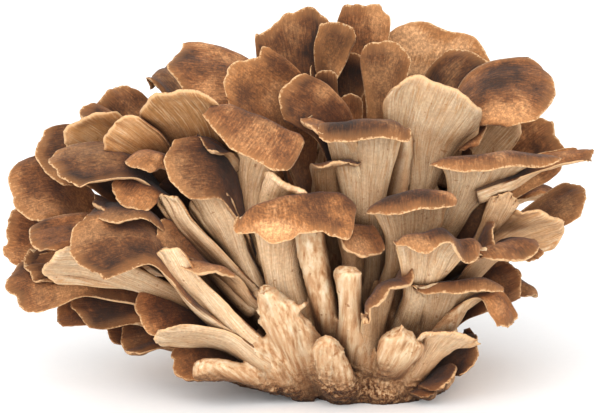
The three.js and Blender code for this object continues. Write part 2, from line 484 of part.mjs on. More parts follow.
// ---- joins and cuts
const manifold = await Module();
manifold.setup();

function solid(geometry) {
  const welded = geometry.clone();
  welded.deleteAttribute("normal");
  welded.deleteAttribute("uv");
  const merged = mergeVertices(welded, 1e-4);
  return new manifold.Manifold(new manifold.Mesh({
    numProp: 3,
    vertProperties: new Float32Array(merged.attributes.position.array),
    triVerts: new Uint32Array(merged.index.array),
  }));
}

function geometryOf(body) {
  const mesh = body.getMesh();
  return shell(mesh.vertProperties, Array.from(mesh.triVerts));
}

const volume = (body) => body.volume();

// Cutting by a neighbour can leave crumbs; the piece is its largest body.
function largest(body) {
  return body.decompose().reduce((a, b) => (volume(b) > volume(a) ? b : a));
}

// The cut face and everything that reaches it end at the floor.
function belowFloor() {
  const box = new THREE.BoxGeometry(600, 600, 60);
  box.translate(0, 0, -30);
  return solid(box);
}

const overlaps = (a, b) => {
  const [p, q] = [a.boundingBox(), b.boundingBox()];
  return [0, 1, 2].every((k) => p.min[k] < q.max[k] && q.min[k] < p.max[k]);
};

function joined(bodies) {
  return bodies.reduce((sum, body) => sum.add(body));
}

// Cut by the neighbours, each grown by the gap, and by a neighbour itself where that left a touch.
function cutBy(body, cutters) {
  return cutters.reduce((rest, cutter) => {
    if (!overlaps(rest, cutter.grown)) return rest;
    const parted = rest.subtract(cutter.grown);
    const touch = overlaps(parted, cutter.body) && volume(parted.intersect(cutter.body)) > 0;
    return touch ? parted.subtract(cutter.body) : parted;
  }, body);
}

function material(name, pale) {
  const color = new THREE.Color(name === "core" ? CREAM : BROWN).lerp(new THREE.Color(TAN), pale);
  return new THREE.MeshStandardMaterial({ color, roughness: 0.85, metalness: 0 });
}

function build() {
  const fronds = [...FRONDS, ...backFronds()].map(([name, path, width, face, own], i) => (
    { name, path, width, face, seed: i + 1,
      shape: { ...PLAIN, ...(name === "core" ? STUB : {}), ...own } }));
  const names = ["core", ...new Set(fronds.map((f) => f.name).filter((n) => n !== "core"))];
  const cluster = new THREE.Group();
  const cutters = [{ grown: belowFloor(), body: belowFloor() }];
  names.forEach((name) => {
    const own = fronds.filter((f) => f.name === name);
    const first = name === "core" ? [coreShell()] : [];
    const grown = name === "core" ? [coreShell(GAP)] : [];
    let body = joined([...first, ...own.map((f) => frondShell(f))].map(solid));
    body = largest(cutBy(body, cutters));
    cutters.push({
      grown: joined([...grown, ...own.map((f) => frondShell(f, GAP))].map(solid)),
      body,
    });
    const mesh = new THREE.Mesh(geometryOf(body), material(name, own[0] ? own[0].shape.pale : 0));
    mesh.name = name;
    cluster.add(mesh);
  });
  return cluster;
}

export default build();
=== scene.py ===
"""Whole maitake mushroom: a fused core, cut flat underneath, and the fronds that grow from it."""
import math

import bpy
import numpy as np
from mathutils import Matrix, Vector, noise


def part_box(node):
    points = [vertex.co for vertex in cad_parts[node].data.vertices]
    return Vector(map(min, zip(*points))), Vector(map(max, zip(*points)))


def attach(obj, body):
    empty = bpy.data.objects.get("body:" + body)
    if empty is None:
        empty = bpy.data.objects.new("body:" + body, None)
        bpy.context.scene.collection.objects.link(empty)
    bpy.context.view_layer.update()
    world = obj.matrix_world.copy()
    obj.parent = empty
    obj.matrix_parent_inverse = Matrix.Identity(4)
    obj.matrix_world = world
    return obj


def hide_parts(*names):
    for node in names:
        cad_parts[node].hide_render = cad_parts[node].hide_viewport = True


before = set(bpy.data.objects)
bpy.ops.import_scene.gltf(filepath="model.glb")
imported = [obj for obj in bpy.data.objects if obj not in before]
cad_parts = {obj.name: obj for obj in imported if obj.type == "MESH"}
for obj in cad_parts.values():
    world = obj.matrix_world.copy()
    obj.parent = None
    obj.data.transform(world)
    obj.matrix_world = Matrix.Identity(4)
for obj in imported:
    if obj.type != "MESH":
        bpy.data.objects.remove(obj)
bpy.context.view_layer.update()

bl_info = {
    "name": "Maitake Mushroom",
    "version": (1, 0, 0),
    "blender": (4, 5, 0),
    "location": "3D View > Sidebar > Maitake",
    "description": "Builds a whole maitake cluster over its CAD frame, with its stage",
    "category": "Add Mesh",
}

MM = 0.001
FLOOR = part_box("core")[0][2]


def linear(hex_colour):
    """sRGB hex to the linear values that Blender's sockets take."""
    parts = [int(hex_colour[i : i + 2], 16) / 255 for i in (1, 3, 5)]
    return tuple(c / 12.92 if c <= 0.04045 else ((c + 0.055) / 1.055) ** 2.4 for c in parts)


# ---- fronds: piece, the line down the middle of the upper side from root to rim in mm, width at
# the root, neck and cap, the way the cap's upper side faces, and what makes it differ from PLAIN.
# Rows of one name make one piece. A frond's place in the list is the seed of its ruffles
FRONDS = [
    # front of the cluster
    ("front_saddle", [(14, -22, 12), (0, -42, 34), (-7, -52, 57), (-6, -56, 75), (-4.5, -61, 86),
     (-3, -68, 90), (-1.5, -74, 88.4), (1, -84, 77.8)], (16, 15, 49), (0.13, -0.69, 0.7),
     dict(flare=0.5, bulge=0.3, pale=0.35, cup=-14, ruffle=0.8, waves=4,
     reach=[-5, 6, 2.5, -1, -1, 1.5, 3.5, -2, -2], rise=[0, 1, 1, -1.5, -3.5], tan=0.1, tone=0.9)),
    # painted light: tan 0 draws this frond's underside lighter
    ("front_funnel", [(8, -18, 14), (-7, -39, 48), (-17, -43, 69), (-19.5, -44.5, 87),
     (-17.5, -50, 103), (-14.3, -57.4, 116), (-14.3, -63.9, 121), (-16.3, -68.4, 121),
     (-19.5, -73.2, 116.5), (-24.7, -77, 110.7)], (12, 13, 45), (0.06, -0.69, 0.73),
     dict(flare=0.56, bulge=0.25, droop=1, cup=-18, ribs=1.1, ruffle=0.8, rise=[1, 0, 0, 0, 0],
     tan=0, tone=0.62)),
    ("front_funnel", [(-25, -45, 98), (-30, -51, 105), (-37, -59, 110)], (6, 8, 13),
     (0.2, -0.3, 0.9), dict(flare=0.25, pale=0.5, bulge=0.4)),
    ("centre_tall", [(20, -20, 14), (24, -40, 46), (25, -50, 76), (25, -58, 104), (25, -61, 114),
     (25, -66, 120), (25, -73, 120), (25, -79, 115)], (14, 16, 36), (0, -0.4, 0.9), dict(flare=0.57,
     bulge=0.25, ribs=2, droop=1, ruffle=0.6, cup=-10, reach=[2, 0, 0, 1, 1], tan=0.15)),
    ("centre_tall", [(25, -52, 94), (17, -59, 112), (4, -71, 119)], (9, 9, 20), (-0.3, -0.5, 0.8),
     dict(flare=0.3, pale=0.5)),
    ("right_centre_fan", [(26, -14, 16), (39, -32, 52), (47, -43, 88), (49, -49, 110),
     (57, -60, 134)], (14, 12, 42), (-0.1, 0.9, 0.4), dict(flare=0.6, ruffle=1.5, skew=0.2,
     tan=0.25)),
    ("centre_right_roll", [(28, -24, 14), (34, -42, 40), (40, -54, 62), (43, -59, 75),
     (43, -63, 86), (42.5, -69, 92), (43, -77, 92), (43, -84, 88)], (13, 12, 39),
     (-0.1, -0.49, 0.86), dict(flare=0.5, bulge=0.35, cup=-22, droop=1, ruffle=1, waves=2,
     tan=0.15)),
    ("right_mid_fold", [(34, -24, 12), (41, -44, 32), (46, -57, 48), (49, -64, 60), (51, -67, 70),
     (54, -73, 76), (56, -80, 76), (58, -86, 71)], (13, 12, 38), (0.2, -0.4, 0.9), dict(flare=0.5,
     bulge=0.3, cup=-14, ruffle=2, waves=3, ribs=2, rise=[-2, -4, 3, 3, -3],
     reach=[-2, 3, -2, 0, -4], tan=0.15)),
    ("right_saddle", [(28, -16, 16), (45, -32, 48), (60, -44, 76), (68, -50, 92), (71, -53, 101),
     (74, -59, 106), (76, -67, 107), (77, -73, 103)], (14, 12, 54), (0, -0.1, 1), dict(flare=0.62,
     bulge=0.25, cup=-16, droop=1, ruffle=1, waves=2, ribs=1.5, tan=0.1)),
    ("right_saddle", [(68, -48, 90), (96, -44, 99), (116, -36, 101.5)], (13, 13, 7),
     (0.1, -0.5, 0.8), dict(flare=0.2, bulge=2, ruffle=2.5)),
    ("right_low_roll", [(34, -22, 10), (46, -40, 24), (54, -50, 38), (58, -54, 47), (60, -58, 53),
     (62, -64, 56), (62, -70, 53)], (12, 12, 38), (0, -0.2, 1), dict(bulge=0.3, cup=-18, droop=1,
     flare=0.5, ribs=1.5, ruffle=0.8, tan=0.15)),
    ("right_low_roll", [(50, -45, 31), (72, -54, 49), (84, -58, 36)], (9, 9, 11), (0.3, -0.6, 0.7),
     dict(flare=0.3, lobes=1.3)),
    ("left_big_oval", [(4, -26, 12), (-18, -46, 28), (-40, -58, 46), (-60, -68, 72),
     (-89, -76, 69)], (14, 12, 27), (-0.15, -0.75, 0.65), dict(flare=0.55, tone=0.35)),
    ("left_big_oval", [(2, -32, 12), (-14, -45, 25), (-30, -54, 39), (-44, -64, 55),
     (-53, -70, 70)], (18, 15, 17), (0.2, 0.6, 0.6), dict(flare=0.4, pale=0.9, tan=0.1)),
    ("centre_curl", [(24, -26, 10), (27, -46, 24), (29, -60, 40), (31, -66, 52), (36, -79, 54)],
     (11, 11, 30), (-0.4, -0.6, 0.7), dict(ruffle=3, pale=0.3)),
    ("centre_cap", [(14, -14, 18), (16, -34, 60), (16, -48, 100), (11, -54, 118), (-6, -60, 131)],
     (10, 9, 21), (-0.1, -0.95, 0.3), dict(cup=12)),
    ("upper_mid_cap", [(10, -10, 18), (4, -28, 60), (0, -40, 100), (-8, -44, 122), (-26, -47, 137)],
     (11, 9, 30), (-0.1, -0.9, 0.4), dict(cup=25, droop=-3, pale=0.45, lobes=1.4,
     reach=[2, 0, 1, -2, 2])),
    ("left_mid_cap", [(4, -14, 14), (-14, -36, 50), (-22, -50, 79), (-32, -60, 99),
     (-52, -68, 100)], (10, 10, 27), (-0.3, -0.85, 0.5), dict(tone=0.3)),
    # upper left
    ("upper_left_big", [(6, -4, 18), (-4, -16, 60), (-8, -20, 98), (-18, -22, 126),
     (-48, -34, 136)], (12, 12, 42), (-0.1, -0.6, 0.8), dict(flare=0.42, cup=-15, droop=3,
     lobes=1.6, reach=[0, -2, 3, -2, 2])),
    ("upper_left_fan", [(2, -8, 16), (-22, -24, 55), (-36, -36, 86), (-43, -44, 112),
     (-54, -56, 131)], (12, 12, 42), (0, 0.6, 0.8), dict(ribs=1.2, droop=3, cup=-10,
     reach=[1, 2, 2, -2, -9], tan=1)),
    ("left_fan_upper", [(-2, -8, 16), (-28, -22, 50), (-49, -36, 83), (-59, -44, 103),
     (-74, -52, 117)], (10, 10, 21), (-0.15, 0.85, 0.5), dict(droop=2, ribs=1, tan=1)),
    ("left_fan_outer", [(-2, -6, 16), (-35, -14, 50), (-60, -20, 82), (-75, -28, 103),
     (-89, -38, 116)], (10, 10, 24), (-0.1, 0.85, 0.5), dict(droop=2, ribs=1, tan=1)),
    ("left_behind_cap", [(0, 4, 18), (-35, 8, 58), (-58, 10, 92), (-79, 8, 115)], (10, 10, 28),
     (-0.2, -0.6, 0.75), {}),
    ("left_behind_cap", [(-45, 9, 74), (-68, -4, 102), (-86, -12, 112)], (8, 8, 20),
     (-0.2, -0.5, 0.85), {}),
    ("left_top_cap", [(0, -14, 20), (-28, -32, 56), (-50, -44, 82), (-68, -52, 101),
     (-97, -60, 100)], (11, 11, 26), (-0.1, -0.45, 0.9), dict(lobes=1.2)),
    ("left_top_cap", [(-40, -38, 70), (-58, -54, 92), (-68, -66, 86)], (10, 9, 20),
     (0.1, -0.7, 0.7), dict(pale=0.4, flare=0.3)),
    ("left_upper_cap", [(-4, -6, 20), (-44, -16, 56), (-70, -22, 82), (-84, -26, 97),
     (-103, -32, 98)], (10, 10, 30), (-0.3, -0.75, 0.6), {}),
    ("left_arch", [(-2, -14, 24), (-24, -32, 62), (-42, -44, 92), (-56, -56, 106), (-66, -66, 104)],
     (8, 8, 18), (0, -0.3, 0.95), dict(cup=-45, pale=0.4, droop=2)),
    ("left_arch", [(-24, -32, 60), (-44, -42, 76), (-59, -50, 86)], (8, 8, 19), (-0.1, -0.9, 0.4),
     {}),
    # far left
    ("far_left_upper", [(-6, -4, 16), (-50, -10, 48), (-80, -14, 68), (-96, -18, 83),
     (-115, -22, 81)], (10, 10, 33), (-0.2, -0.7, 0.65), {}),
    ("far_left", [(-6, -2, 12), (-50, -4, 36), (-85, -6, 55), (-118, -8, 65)], (10, 9, 27),
     (-0.2, -0.8, 0.5), dict(lobes=1.6)),
    ("far_left", [(-50, -4, 34), (-80, -22, 50), (-109, -32, 55)], (8, 8, 17), (-0.1, -0.5, 0.8),
     dict(ruffle=2.5, waves=5)),
    ("left_mid_lip", [(-2, -14, 16), (-34, -30, 42), (-60, -40, 60), (-78, -46, 73),
     (-106, -54, 70)], (10, 9, 21), (-0.1, -0.45, 0.88), dict(ribs=1)),
    ("left_roll", [(-4, -16, 18), (-30, -34, 44), (-52, -46, 68), (-66, -54, 85), (-79, -66, 84)],
     (9, 9, 34), (0, 0.1, 1), dict(cup=-35, droop=2)),
    ("left_roll", [(-30, -34, 42), (-58, -46, 71), (-80, -56, 86)], (8, 8, 20), (0, -0.2, 0.95),
     dict(pale=0.5, lobes=1.4)),
    ("left_low_fan", [(2, -20, 10), (-30, -38, 36), (-60, -46, 50), (-84, -50, 59),
     (-101, -54, 62)], (13, 11, 21), (-0.1, 0.7, 0.6), dict(ribs=1.3, droop=2, tan=0.2)),
    ("far_left_low", [(-2, -8, 12), (-40, -20, 30), (-70, -28, 44), (-90, -32, 51),
     (-115, -36, 44)], (10, 9, 25), (-0.1, -0.75, 0.6), dict(lobes=2)),
    ("far_left_low", [(-40, -20, 28), (-70, -20, 32), (-97, -22, 33)], (8, 8, 14),
     (-0.1, -0.6, 0.7), dict(pale=0.5)),
    ("left_low_dark", [(-4, -6, 10), (-36, -16, 26), (-62, -22, 37), (-90, -26, 40)], (10, 10, 22),
     (-0.1, -0.9, 0.4), dict(lobes=1.3)),
    ("left_low_fold", [(0, -20, 8), (-28, -36, 26), (-46, -44, 40), (-64, -52, 40)], (9, 9, 25),
     (0.1, -0.8, 0.5), {}),
    ("left_low_tongue", [(4, -28, 8), (-14, -44, 20), (-34, -54, 30), (-57, -62, 34)], (20, 17, 18),
     (0, 0.6, 0.7), dict(pale=0.9, tan=0.1)),
    ("left_small_roll", [(0, -26, 20), (-18, -46, 42), (-34, -58, 60), (-40, -74, 62)], (9, 9, 26),
     (0, -0.5, 0.9), dict(pale=0.8)),
    ("left_small_roll", [(-18, -46, 40), (-40, -54, 64), (-55, -62, 76)], (8, 8, 16),
     (0, -0.7, 0.6), dict(pale=0.6, ruffle=2)),
    ("left_stalks", [(2, -24, 16), (-14, -42, 42), (-36, -54, 66), (-46, -58, 78), (-53, -62, 90)],
     (12, 10, 12), (0.3, 0.6, 0.6), dict(pale=0.9, tan=0.1)),
    ("left_stalks", [(-10, -37, 36), (-28, -52, 70), (-38, -58, 90)], (12, 11, 19), (0, 0.6, 0.6),
     dict(pale=0.9, tan=0.1)),
    # right
    ("right_lobe_cap", [(26, -6, 18), (46, -20, 60), (56, -28, 98), (66, -34, 121), (82, -38, 127),
     (99, -42, 123)], (11, 11, 36), (0.25, -0.65, 0.7), dict(flare=0.5, cup=-10, tone=0.62)),
    ("right_lobe_cap", [(56, -28, 88), (62, -34, 106), (72, -40, 116)], (9, 9, 22),
     (0.2, -0.6, 0.8), dict(flare=0.25)),
    ("right_back_cap", [(22, 6, 18), (40, 6, 62), (54, 2, 98), (62, 0, 116), (76, -4, 128)],
     (10, 10, 34), (0.1, -0.75, 0.6), {}),
    ("top_right_fan", [(22, 8, 18), (34, 16, 62), (44, 22, 100), (51, 26, 119), (60, 30, 139)],
     (11, 10, 50), (-0.2, -0.9, 0.35), dict(pale=0.8, reach=[0, 0, 0, 3, 3], tone=0.55)),
    ("right_fan_upper", [(24, -4, 18), (50, -8, 60), (68, -12, 94), (82, -22, 115)], (9, 9, 24),
     (0.3, 0.6, 0.7), {}),
    ("right_fan_upper", [(46, -8, 54), (58, -28, 86), (67, -34, 100)], (8, 8, 20), (0.1, -0.7, 0.7),
     {}),
    ("right_edge_cap", [(28, 0, 18), (60, 2, 58), (82, 2, 84), (103, 0, 101)], (9, 9, 26),
     (0.2, -0.8, 0.5), dict(lobes=1.5)),
    ("right_tongue", [(34, 0, 22), (64, -10, 48), (86, -16, 66), (113, -20, 82)], (10, 9, 18),
     (0.2, -0.5, 0.8), {}),
    ("right_low_fan", [(36, -8, 20), (62, -22, 46), (80, -28, 64), (102, -36, 77)], (10, 9, 30),
     (0.1, 0.6, 0.8), dict(droop=2, tan=0.7)),
    ("right_stalks", [(36, -14, 30), (58, -28, 54), (68, -38, 72), (73, -46, 88)], (9, 9, 11),
     (0.2, -1, 0.2), dict(pale=0.8)),
    ("right_stalks", [(56, -27, 51), (72, -40, 68), (82, -50, 88)], (8, 7, 12), (0.1, 0.4, 0.9),
     dict(pale=0.5)),
    ("right_stalks", [(57, -27, 51), (68, -46, 62), (75, -58, 74)], (8, 8, 15), (0, -0.7, 0.7), {}),
    ("right_mid_fan", [(36, -18, 14), (54, -36, 34), (67, -47, 54), (78, -54, 69), (87, -66, 68)],
     (12, 11, 30), (0.1, -0.3, 0.9), dict(cup=-15, droop=2)),
    ("right_mid_fan", [(54, -36, 34), (78, -42, 64), (96, -46, 66)], (8, 8, 13), (0.2, -0.4, 0.9),
     dict(droop=3)),
    ("right_disc", [(36, -12, 12), (56, -26, 28), (70, -34, 42), (86, -42, 53)], (9, 9, 19),
     (0.1, -0.95, 0.3), {}),
    ("right_bottom_fan", [(36, -24, 6), (46, -42, 16), (54, -54, 27), (61, -66, 38)], (12, 12, 27),
     (0, 0.4, 0.9), dict(droop=2, tan=0.25)),
    ("right_bottom_lip", [(38, -16, 6), (54, -30, 14), (70, -42, 24)], (10, 10, 20),
     (0.1, -0.7, 0.7), {}),
    # crown
    ("crown_left", [(12, 6, 18), (8, 4, 62), (6, 0, 102), (2, 0, 124), (-2, 2, 150)], (11, 10, 36),
     (-0.1, -0.9, 0.4), dict(flare=0.7, lobes=2.2, cup=15, tone=0.3)),
    ("crown_left", [(6, 1, 96), (11, -8, 130), (17, -10, 148)], (8, 8, 14), (0.2, -0.8, 0.5),
     dict(flare=0.3, pale=0.5)),
    ("crown_right", [(16, 8, 18), (18, 14, 62), (21, 18, 104), (24, 20, 126), (26, 22, 151)],
     (9, 9, 21), (0, -0.95, 0.3), dict(flare=0.7, lobes=1.5)),
    ("crown_right", [(18, 14, 60), (14, 30, 108), (14, 38, 138)], (9, 9, 18), (0, -0.9, 0.4),
     dict(pale=0.4)),
    ("crown_cup", [(18, -4, 18), (24, -10, 60), (29, -12, 98), (32, -12, 118), (34, -12, 141)],
     (9, 9, 20), (-0.15, -0.95, 0.25), dict(flare=0.75, cup=20)),
    # painted shade: tone 0.05 draws this inner cup much darker
    ("crown_cup", [(26, -11, 72), (20, -3, 100), (17, 2, 118), (17, 4, 134)], (9, 9, 28),
     (0, -1, 0.1), dict(flare=0.6, cup=50, tone=0.05)),
    # stubs, buds and broken stalks low on the core
    ("core", [(26, -26, 10), (22, -48, 28), (20, -62, 46), (18, -74, 64)], (20, 9, 11),
     (0, 0.6, 0.8), dict(thick=8, flare=0.8, pale=1)),
    ("core", [(20, -24, 12), (12, -46, 36), (8, -56, 54), (4, -61, 78)], (11, 10, 11),
     (0, 0.7, 0.7), dict(thick=8, pale=1)),
    ("core", [(12, -28, 8), (2, -46, 24), (-6, -58, 38), (-14, -65, 53)], (22, 22, 18),
     (0, 0.7, 0.7), dict(pale=0.8, bulge=0.9, lobes=1.4, reach=[-7, -1, 3, -4, -7])),
    ("core", [(18, -32, 6), (14, -52, 17), (10, -66, 34)], (17, 14, 12), (0, 0.7, 0.7), dict(pale=1,
     reach=[-4, -1, 1, 0, -2])),
    ("core", [(30, -28, 8), (36, -47, 18), (38, -60, 27), (40, -68, 37)], (15, 13, 16),
     (0, 0.5, 0.6), dict(pale=0.8, thick=5, cup=20, ruffle=1, waves=3, reach=[-3, 0, 2, 0, -2])),
    ("core", [(6, -28, 6), (-10, -40, 11), (-24, -48, 17), (-42, -54, 20)], (10, 10, 12),
     (0, 0.6, 0.8), dict(pale=1)),
    ("core", [(0, -16, 5), (-24, -30, 13), (-38, -38, 18), (-50, -42, 15)], (10, 10, 20),
     (-0.1, -0.7, 0.7), dict(pale=0.6, lobes=1.5)),
    ("core", [(-2, -8, 6), (-34, -14, 16), (-56, -18, 23), (-71, -22, 21)], (9, 9, 17),
     (0, -0.6, 0.8), dict(pale=0.3, ruffle=2)),
    ("core", [(-4, 2, 6), (-40, -2, 15), (-60, -4, 21), (-77, -8, 23)], (8, 7, 12),
     (-0.1, -0.8, 0.5), {}),
    ("core", [(38, -26, 4), (50, -40, 10), (60, -50, 14)], (8, 8, 15), (0.1, -0.7, 0.7), {}),
    ("core", [(36, -26, 6), (46, -38, 7), (55, -44, 7)], (8, 8, 12), (0.1, -0.5, 0.8),
     dict(thick=5)),
    ("core", [(26, -22, 30), (40, -38, 62), (49, -44, 92)], (9, 9, 11), (0, -1, 0.2), dict(thick=7,
     pale=0.8)),
    ("core", [(34, -28, 40), (50, -44, 66), (57, -50, 84)], (8, 7, 8), (0, -1, 0.2), dict(thick=6,
     pale=0.6)),
    ("core", [(24, -14, 20), (31, -36, 55), (35, -46, 85), (37, -55, 113)], (13, 10, 11),
     (-0.3, -0.9, 0.2), dict(pale=1)),
    ("core", [(13, -12, 50), (12, -24, 100), (10, -32, 133)], (8, 7, 9), (0, -1, 0), dict(thick=6)),
    ("core", [(18, -16, 50), (20, -30, 96), (20, -36, 124)], (8, 7, 9), (0, -1, 0), dict(thick=6)),
    ("core", [(2, -24, 30), (-16, -44, 56), (-24, -53, 70), (-31, -58, 82)], (7, 6, 7), (0, -1, 0),
     dict(pale=1, thick=5)),
    ("core", [(20, -28, 24), (21, -48, 54), (21, -60, 77), (27, -74, 67)], (9, 8, 18),
     (0.4, -0.6, 0.6), dict(pale=0.6, lobes=1.5)),
    # folds between the stalks in front
    ("centre_pleat", [(14, -24, 34), (13, -44, 76), (13, -54, 98), (16, -68, 104)], (9, 9, 19),
     (0.1, -0.4, 0.9), dict(pale=0.6)),
    # painted light: tone 1 and tan 0 draw this fold much lighter
    ("front_funnel", [(-14, -42, 58), (-13, -46, 71), (-8.5, -55, 85), (-4, -67, 96)], (9, 10, 20),
     (0.4, 0.7, 0.6), dict(flare=0.25, ribs=1.1, bulge=0.2, ruffle=0.4, lobes=0.4, tan=0, tone=1)),
]
# the core in mm: its middle, its outline at the cut, and how wide it is at each height
CORE_CENTRE = (13, 0)
CORE_OUTLINE = [
    (-30, 5), (-24, -8), (-15, -17), (0, -24), (18, -35), (32, -42),
    (45, -36), (56, -21), (60, 0), (50, 28), (25, 40), (-5, 35), (-26, 22),
]
CORE_PROFILE = [(0, 1), (5, 1.07), (18, 1.09), (32, 1), (46, 0.78), (56, 0.45)]
# where the stalks of the back stand: round this point in mm, and in degrees from +X
BACK_CENTRE = (13, 3)
BACK_AZIMUTHS = [16, 37, 59, 84, 107, 131, 156]
# a frond unless it says otherwise. Over the cap: cup in degrees, and droop of the rim, ruffle with
# its number of waves and rise from side to side, in mm. Outline: bulge = how round the rim is,
# lobes and reach from side to side in mm, skew, and flare = where along it the cap starts.
# thick = the stalk in mm, and ribs = how deep the pleats are. Finish: pale = how bleached the cap
# is, tan = how many pores are under it, where below 0.08 the underside also gets painted light, and
# tone = how light it is, or 0 to follow from the seed; some fronds are given a tone as painted
# shade or painted light
PLAIN = dict(cup=0, droop=0, ruffle=0.8, waves=3, bulge=0.8, lobes=0.8, flare=0.5, thick=0,
             pale=0, skew=0, ribs=1.0, tan=0.55, tone=0, reach=None, rise=None)
# what a stub of the core has instead
STUB = dict(ruffle=0.3, lobes=0.5)
# waves in the outline of a cap: how many to a turn, and how deep in mm
EDGE_WAVES = [(2, 0.35), (3, 0.5), (5, 0.45), (8, 0.35), (13, 0.16), (21, 0.08), (34, 0.05)]
# a cap narrower than this, in mm, is less crumpled
CRUMPLED_WIDTH = 28
# the thickest stalk in mm, and its thickness as a share of its width
STALK_MOST, STALK_SHARE = 9.0, 0.62


def back_fronds():
    """Four caps to each stalk round the side that faces away: each stalk arches out, and the caps
    hang in tiers below its own."""
    made = []
    for i, azimuth in enumerate(BACK_AZIMUTHS):
        vary = math.sin(i * 2.4)
        lift = 8 * math.sin(i * 3.9 + 1)

        def at(radius, height, turn=0):
            """A point so far out from the core and so high, turned a little from the stalk."""
            a = math.radians(azimuth + turn)
            return [BACK_CENTRE[0] + radius * math.cos(a),
                    BACK_CENTRE[1] + radius * math.sin(a), height]

        def cap(path, width, turn, **own):
            """Adds a cap that faces up and outwards."""
            a = math.radians(azimuth + turn)
            face = [0.45 * math.cos(a), 0.45 * math.sin(a), 0.8]
            own = dict(lobes=1.3, ruffle=1.5, **own)
            made.append((f"back_frond_{i + 1}", path, width, face, own))

        cap([at(16, 16), at(34, 56), at(46 + 3 * vary, 90), at(59 + 5 * vary, 111 + 6 * vary),
             at(70 + 4 * vary, 117 + 6 * vary), at(77 + 3 * vary, 111 + 5 * vary)],
            [14, 12, 38 + 5 * vary], 0, cup=-12)
        cap([at(36, 62), at(56, 82, 5), at(76 - 4 * vary, 96 - 3 * vary, 8),
             at(87 - 4 * vary, 95 - 3 * vary, 10), at(94 - 4 * vary, 86 - 3 * vary, 11)],
            [12, 10, 37 - 4 * vary], 8, cup=-10)
        cap([at(34, 56), at(62, 62 + lift / 2, -3), at(84 + 2 * vary, 68 + lift, -6),
             at(95 + 2 * vary, 61 + lift, -8)], [12, 10, 40 + 3 * vary], -6)
        cap([at(35, 57), at(58, 46, 4), at(80 + 4 * vary, 39 - lift / 2, 8),
             at(88 + 4 * vary, 31 - lift / 2, 9)], [12, 11, 38 - 3 * vary], 8)
    return made


# ---- the surface of a frond
def smooth(t):
    """A soft step from 0 to 1."""
    t = np.clip(t, 0.0, 1.0)
    return t * t * (3 - 2 * t)


def phase(seed, k):
    """Where wave k of a frond starts, from its seed."""
    s = math.sin(seed * 12.9898 + k * 78.233) * 43758.5453
    return 2 * math.pi * (s - math.floor(s))


def unit(v):
    """A vector at length 1."""
    return v / max(np.linalg.norm(v), 1e-9)


def spline(points, steps):
    """Catmull-Rom through the points, evenly spaced along its length."""
    p = np.array(points, float)
    p = np.vstack([2 * p[0] - p[1], p, 2 * p[-1] - p[-2]])
    fine = []
    for k in range(len(p) - 3):
        a, b, c, d = p[k : k + 4]
        for f in np.linspace(0, 1, 40, endpoint=False):
            fine.append(0.5 * (2 * b + (c - a) * f + (2 * a - 5 * b + 4 * c - d) * f**2
                               + (3 * b - a - 3 * c + d) * f**3))
    fine = np.array(fine + [p[-2]])
    along = np.concatenate([[0], np.cumsum(np.linalg.norm(np.diff(fine, axis=0), axis=1))])
    even = np.linspace(0, along[-1], steps + 1)
    return np.array([np.interp(even, along, fine[:, k]) for k in range(3)]).T, along[-1]


def between(values, across):
    """The value at a place across a frond, of a few that are evenly spaced from side to side."""
    if not values:
        return 0
    values = np.array(values, float)
    x = (across + 1) / 2 * (len(values) - 1)
    i = np.minimum(np.floor(x).astype(int), len(values) - 2)
    return values[i] + (values[i + 1] - values[i]) * smooth(x - i)


def middle_line(path, face, steps=60):
    """Points, directions along and the way the upper side faces, turning to the cap's own way."""
    points, length = spline(path, steps)
    along = np.gradient(points, axis=0)
    along /= np.linalg.norm(along, axis=1)[:, None]
    outward = points[-1] - points[0]
    outward[2] = 0
    last = -unit(outward) if np.linalg.norm(outward) > 1 else np.array([0, -1.0, 0])
    up = np.zeros_like(points)
    for i, t in enumerate(along):
        last = unit(last - last.dot(t) * t)
        up[i] = last
    wanted = np.array(face, float)
    wanted = unit(wanted - wanted.dot(along[-1]) * along[-1])
    side = np.cross(along[-1], up[-1])
    turn = math.atan2(wanted.dot(side), wanted.dot(up[-1]))
    angle = turn * smooth((np.linspace(0, 1, steps + 1) - 0.1) / 0.75)[:, None]
    up = up * np.cos(angle) + np.cross(along, up) * np.sin(angle)
    return points, along, up, length


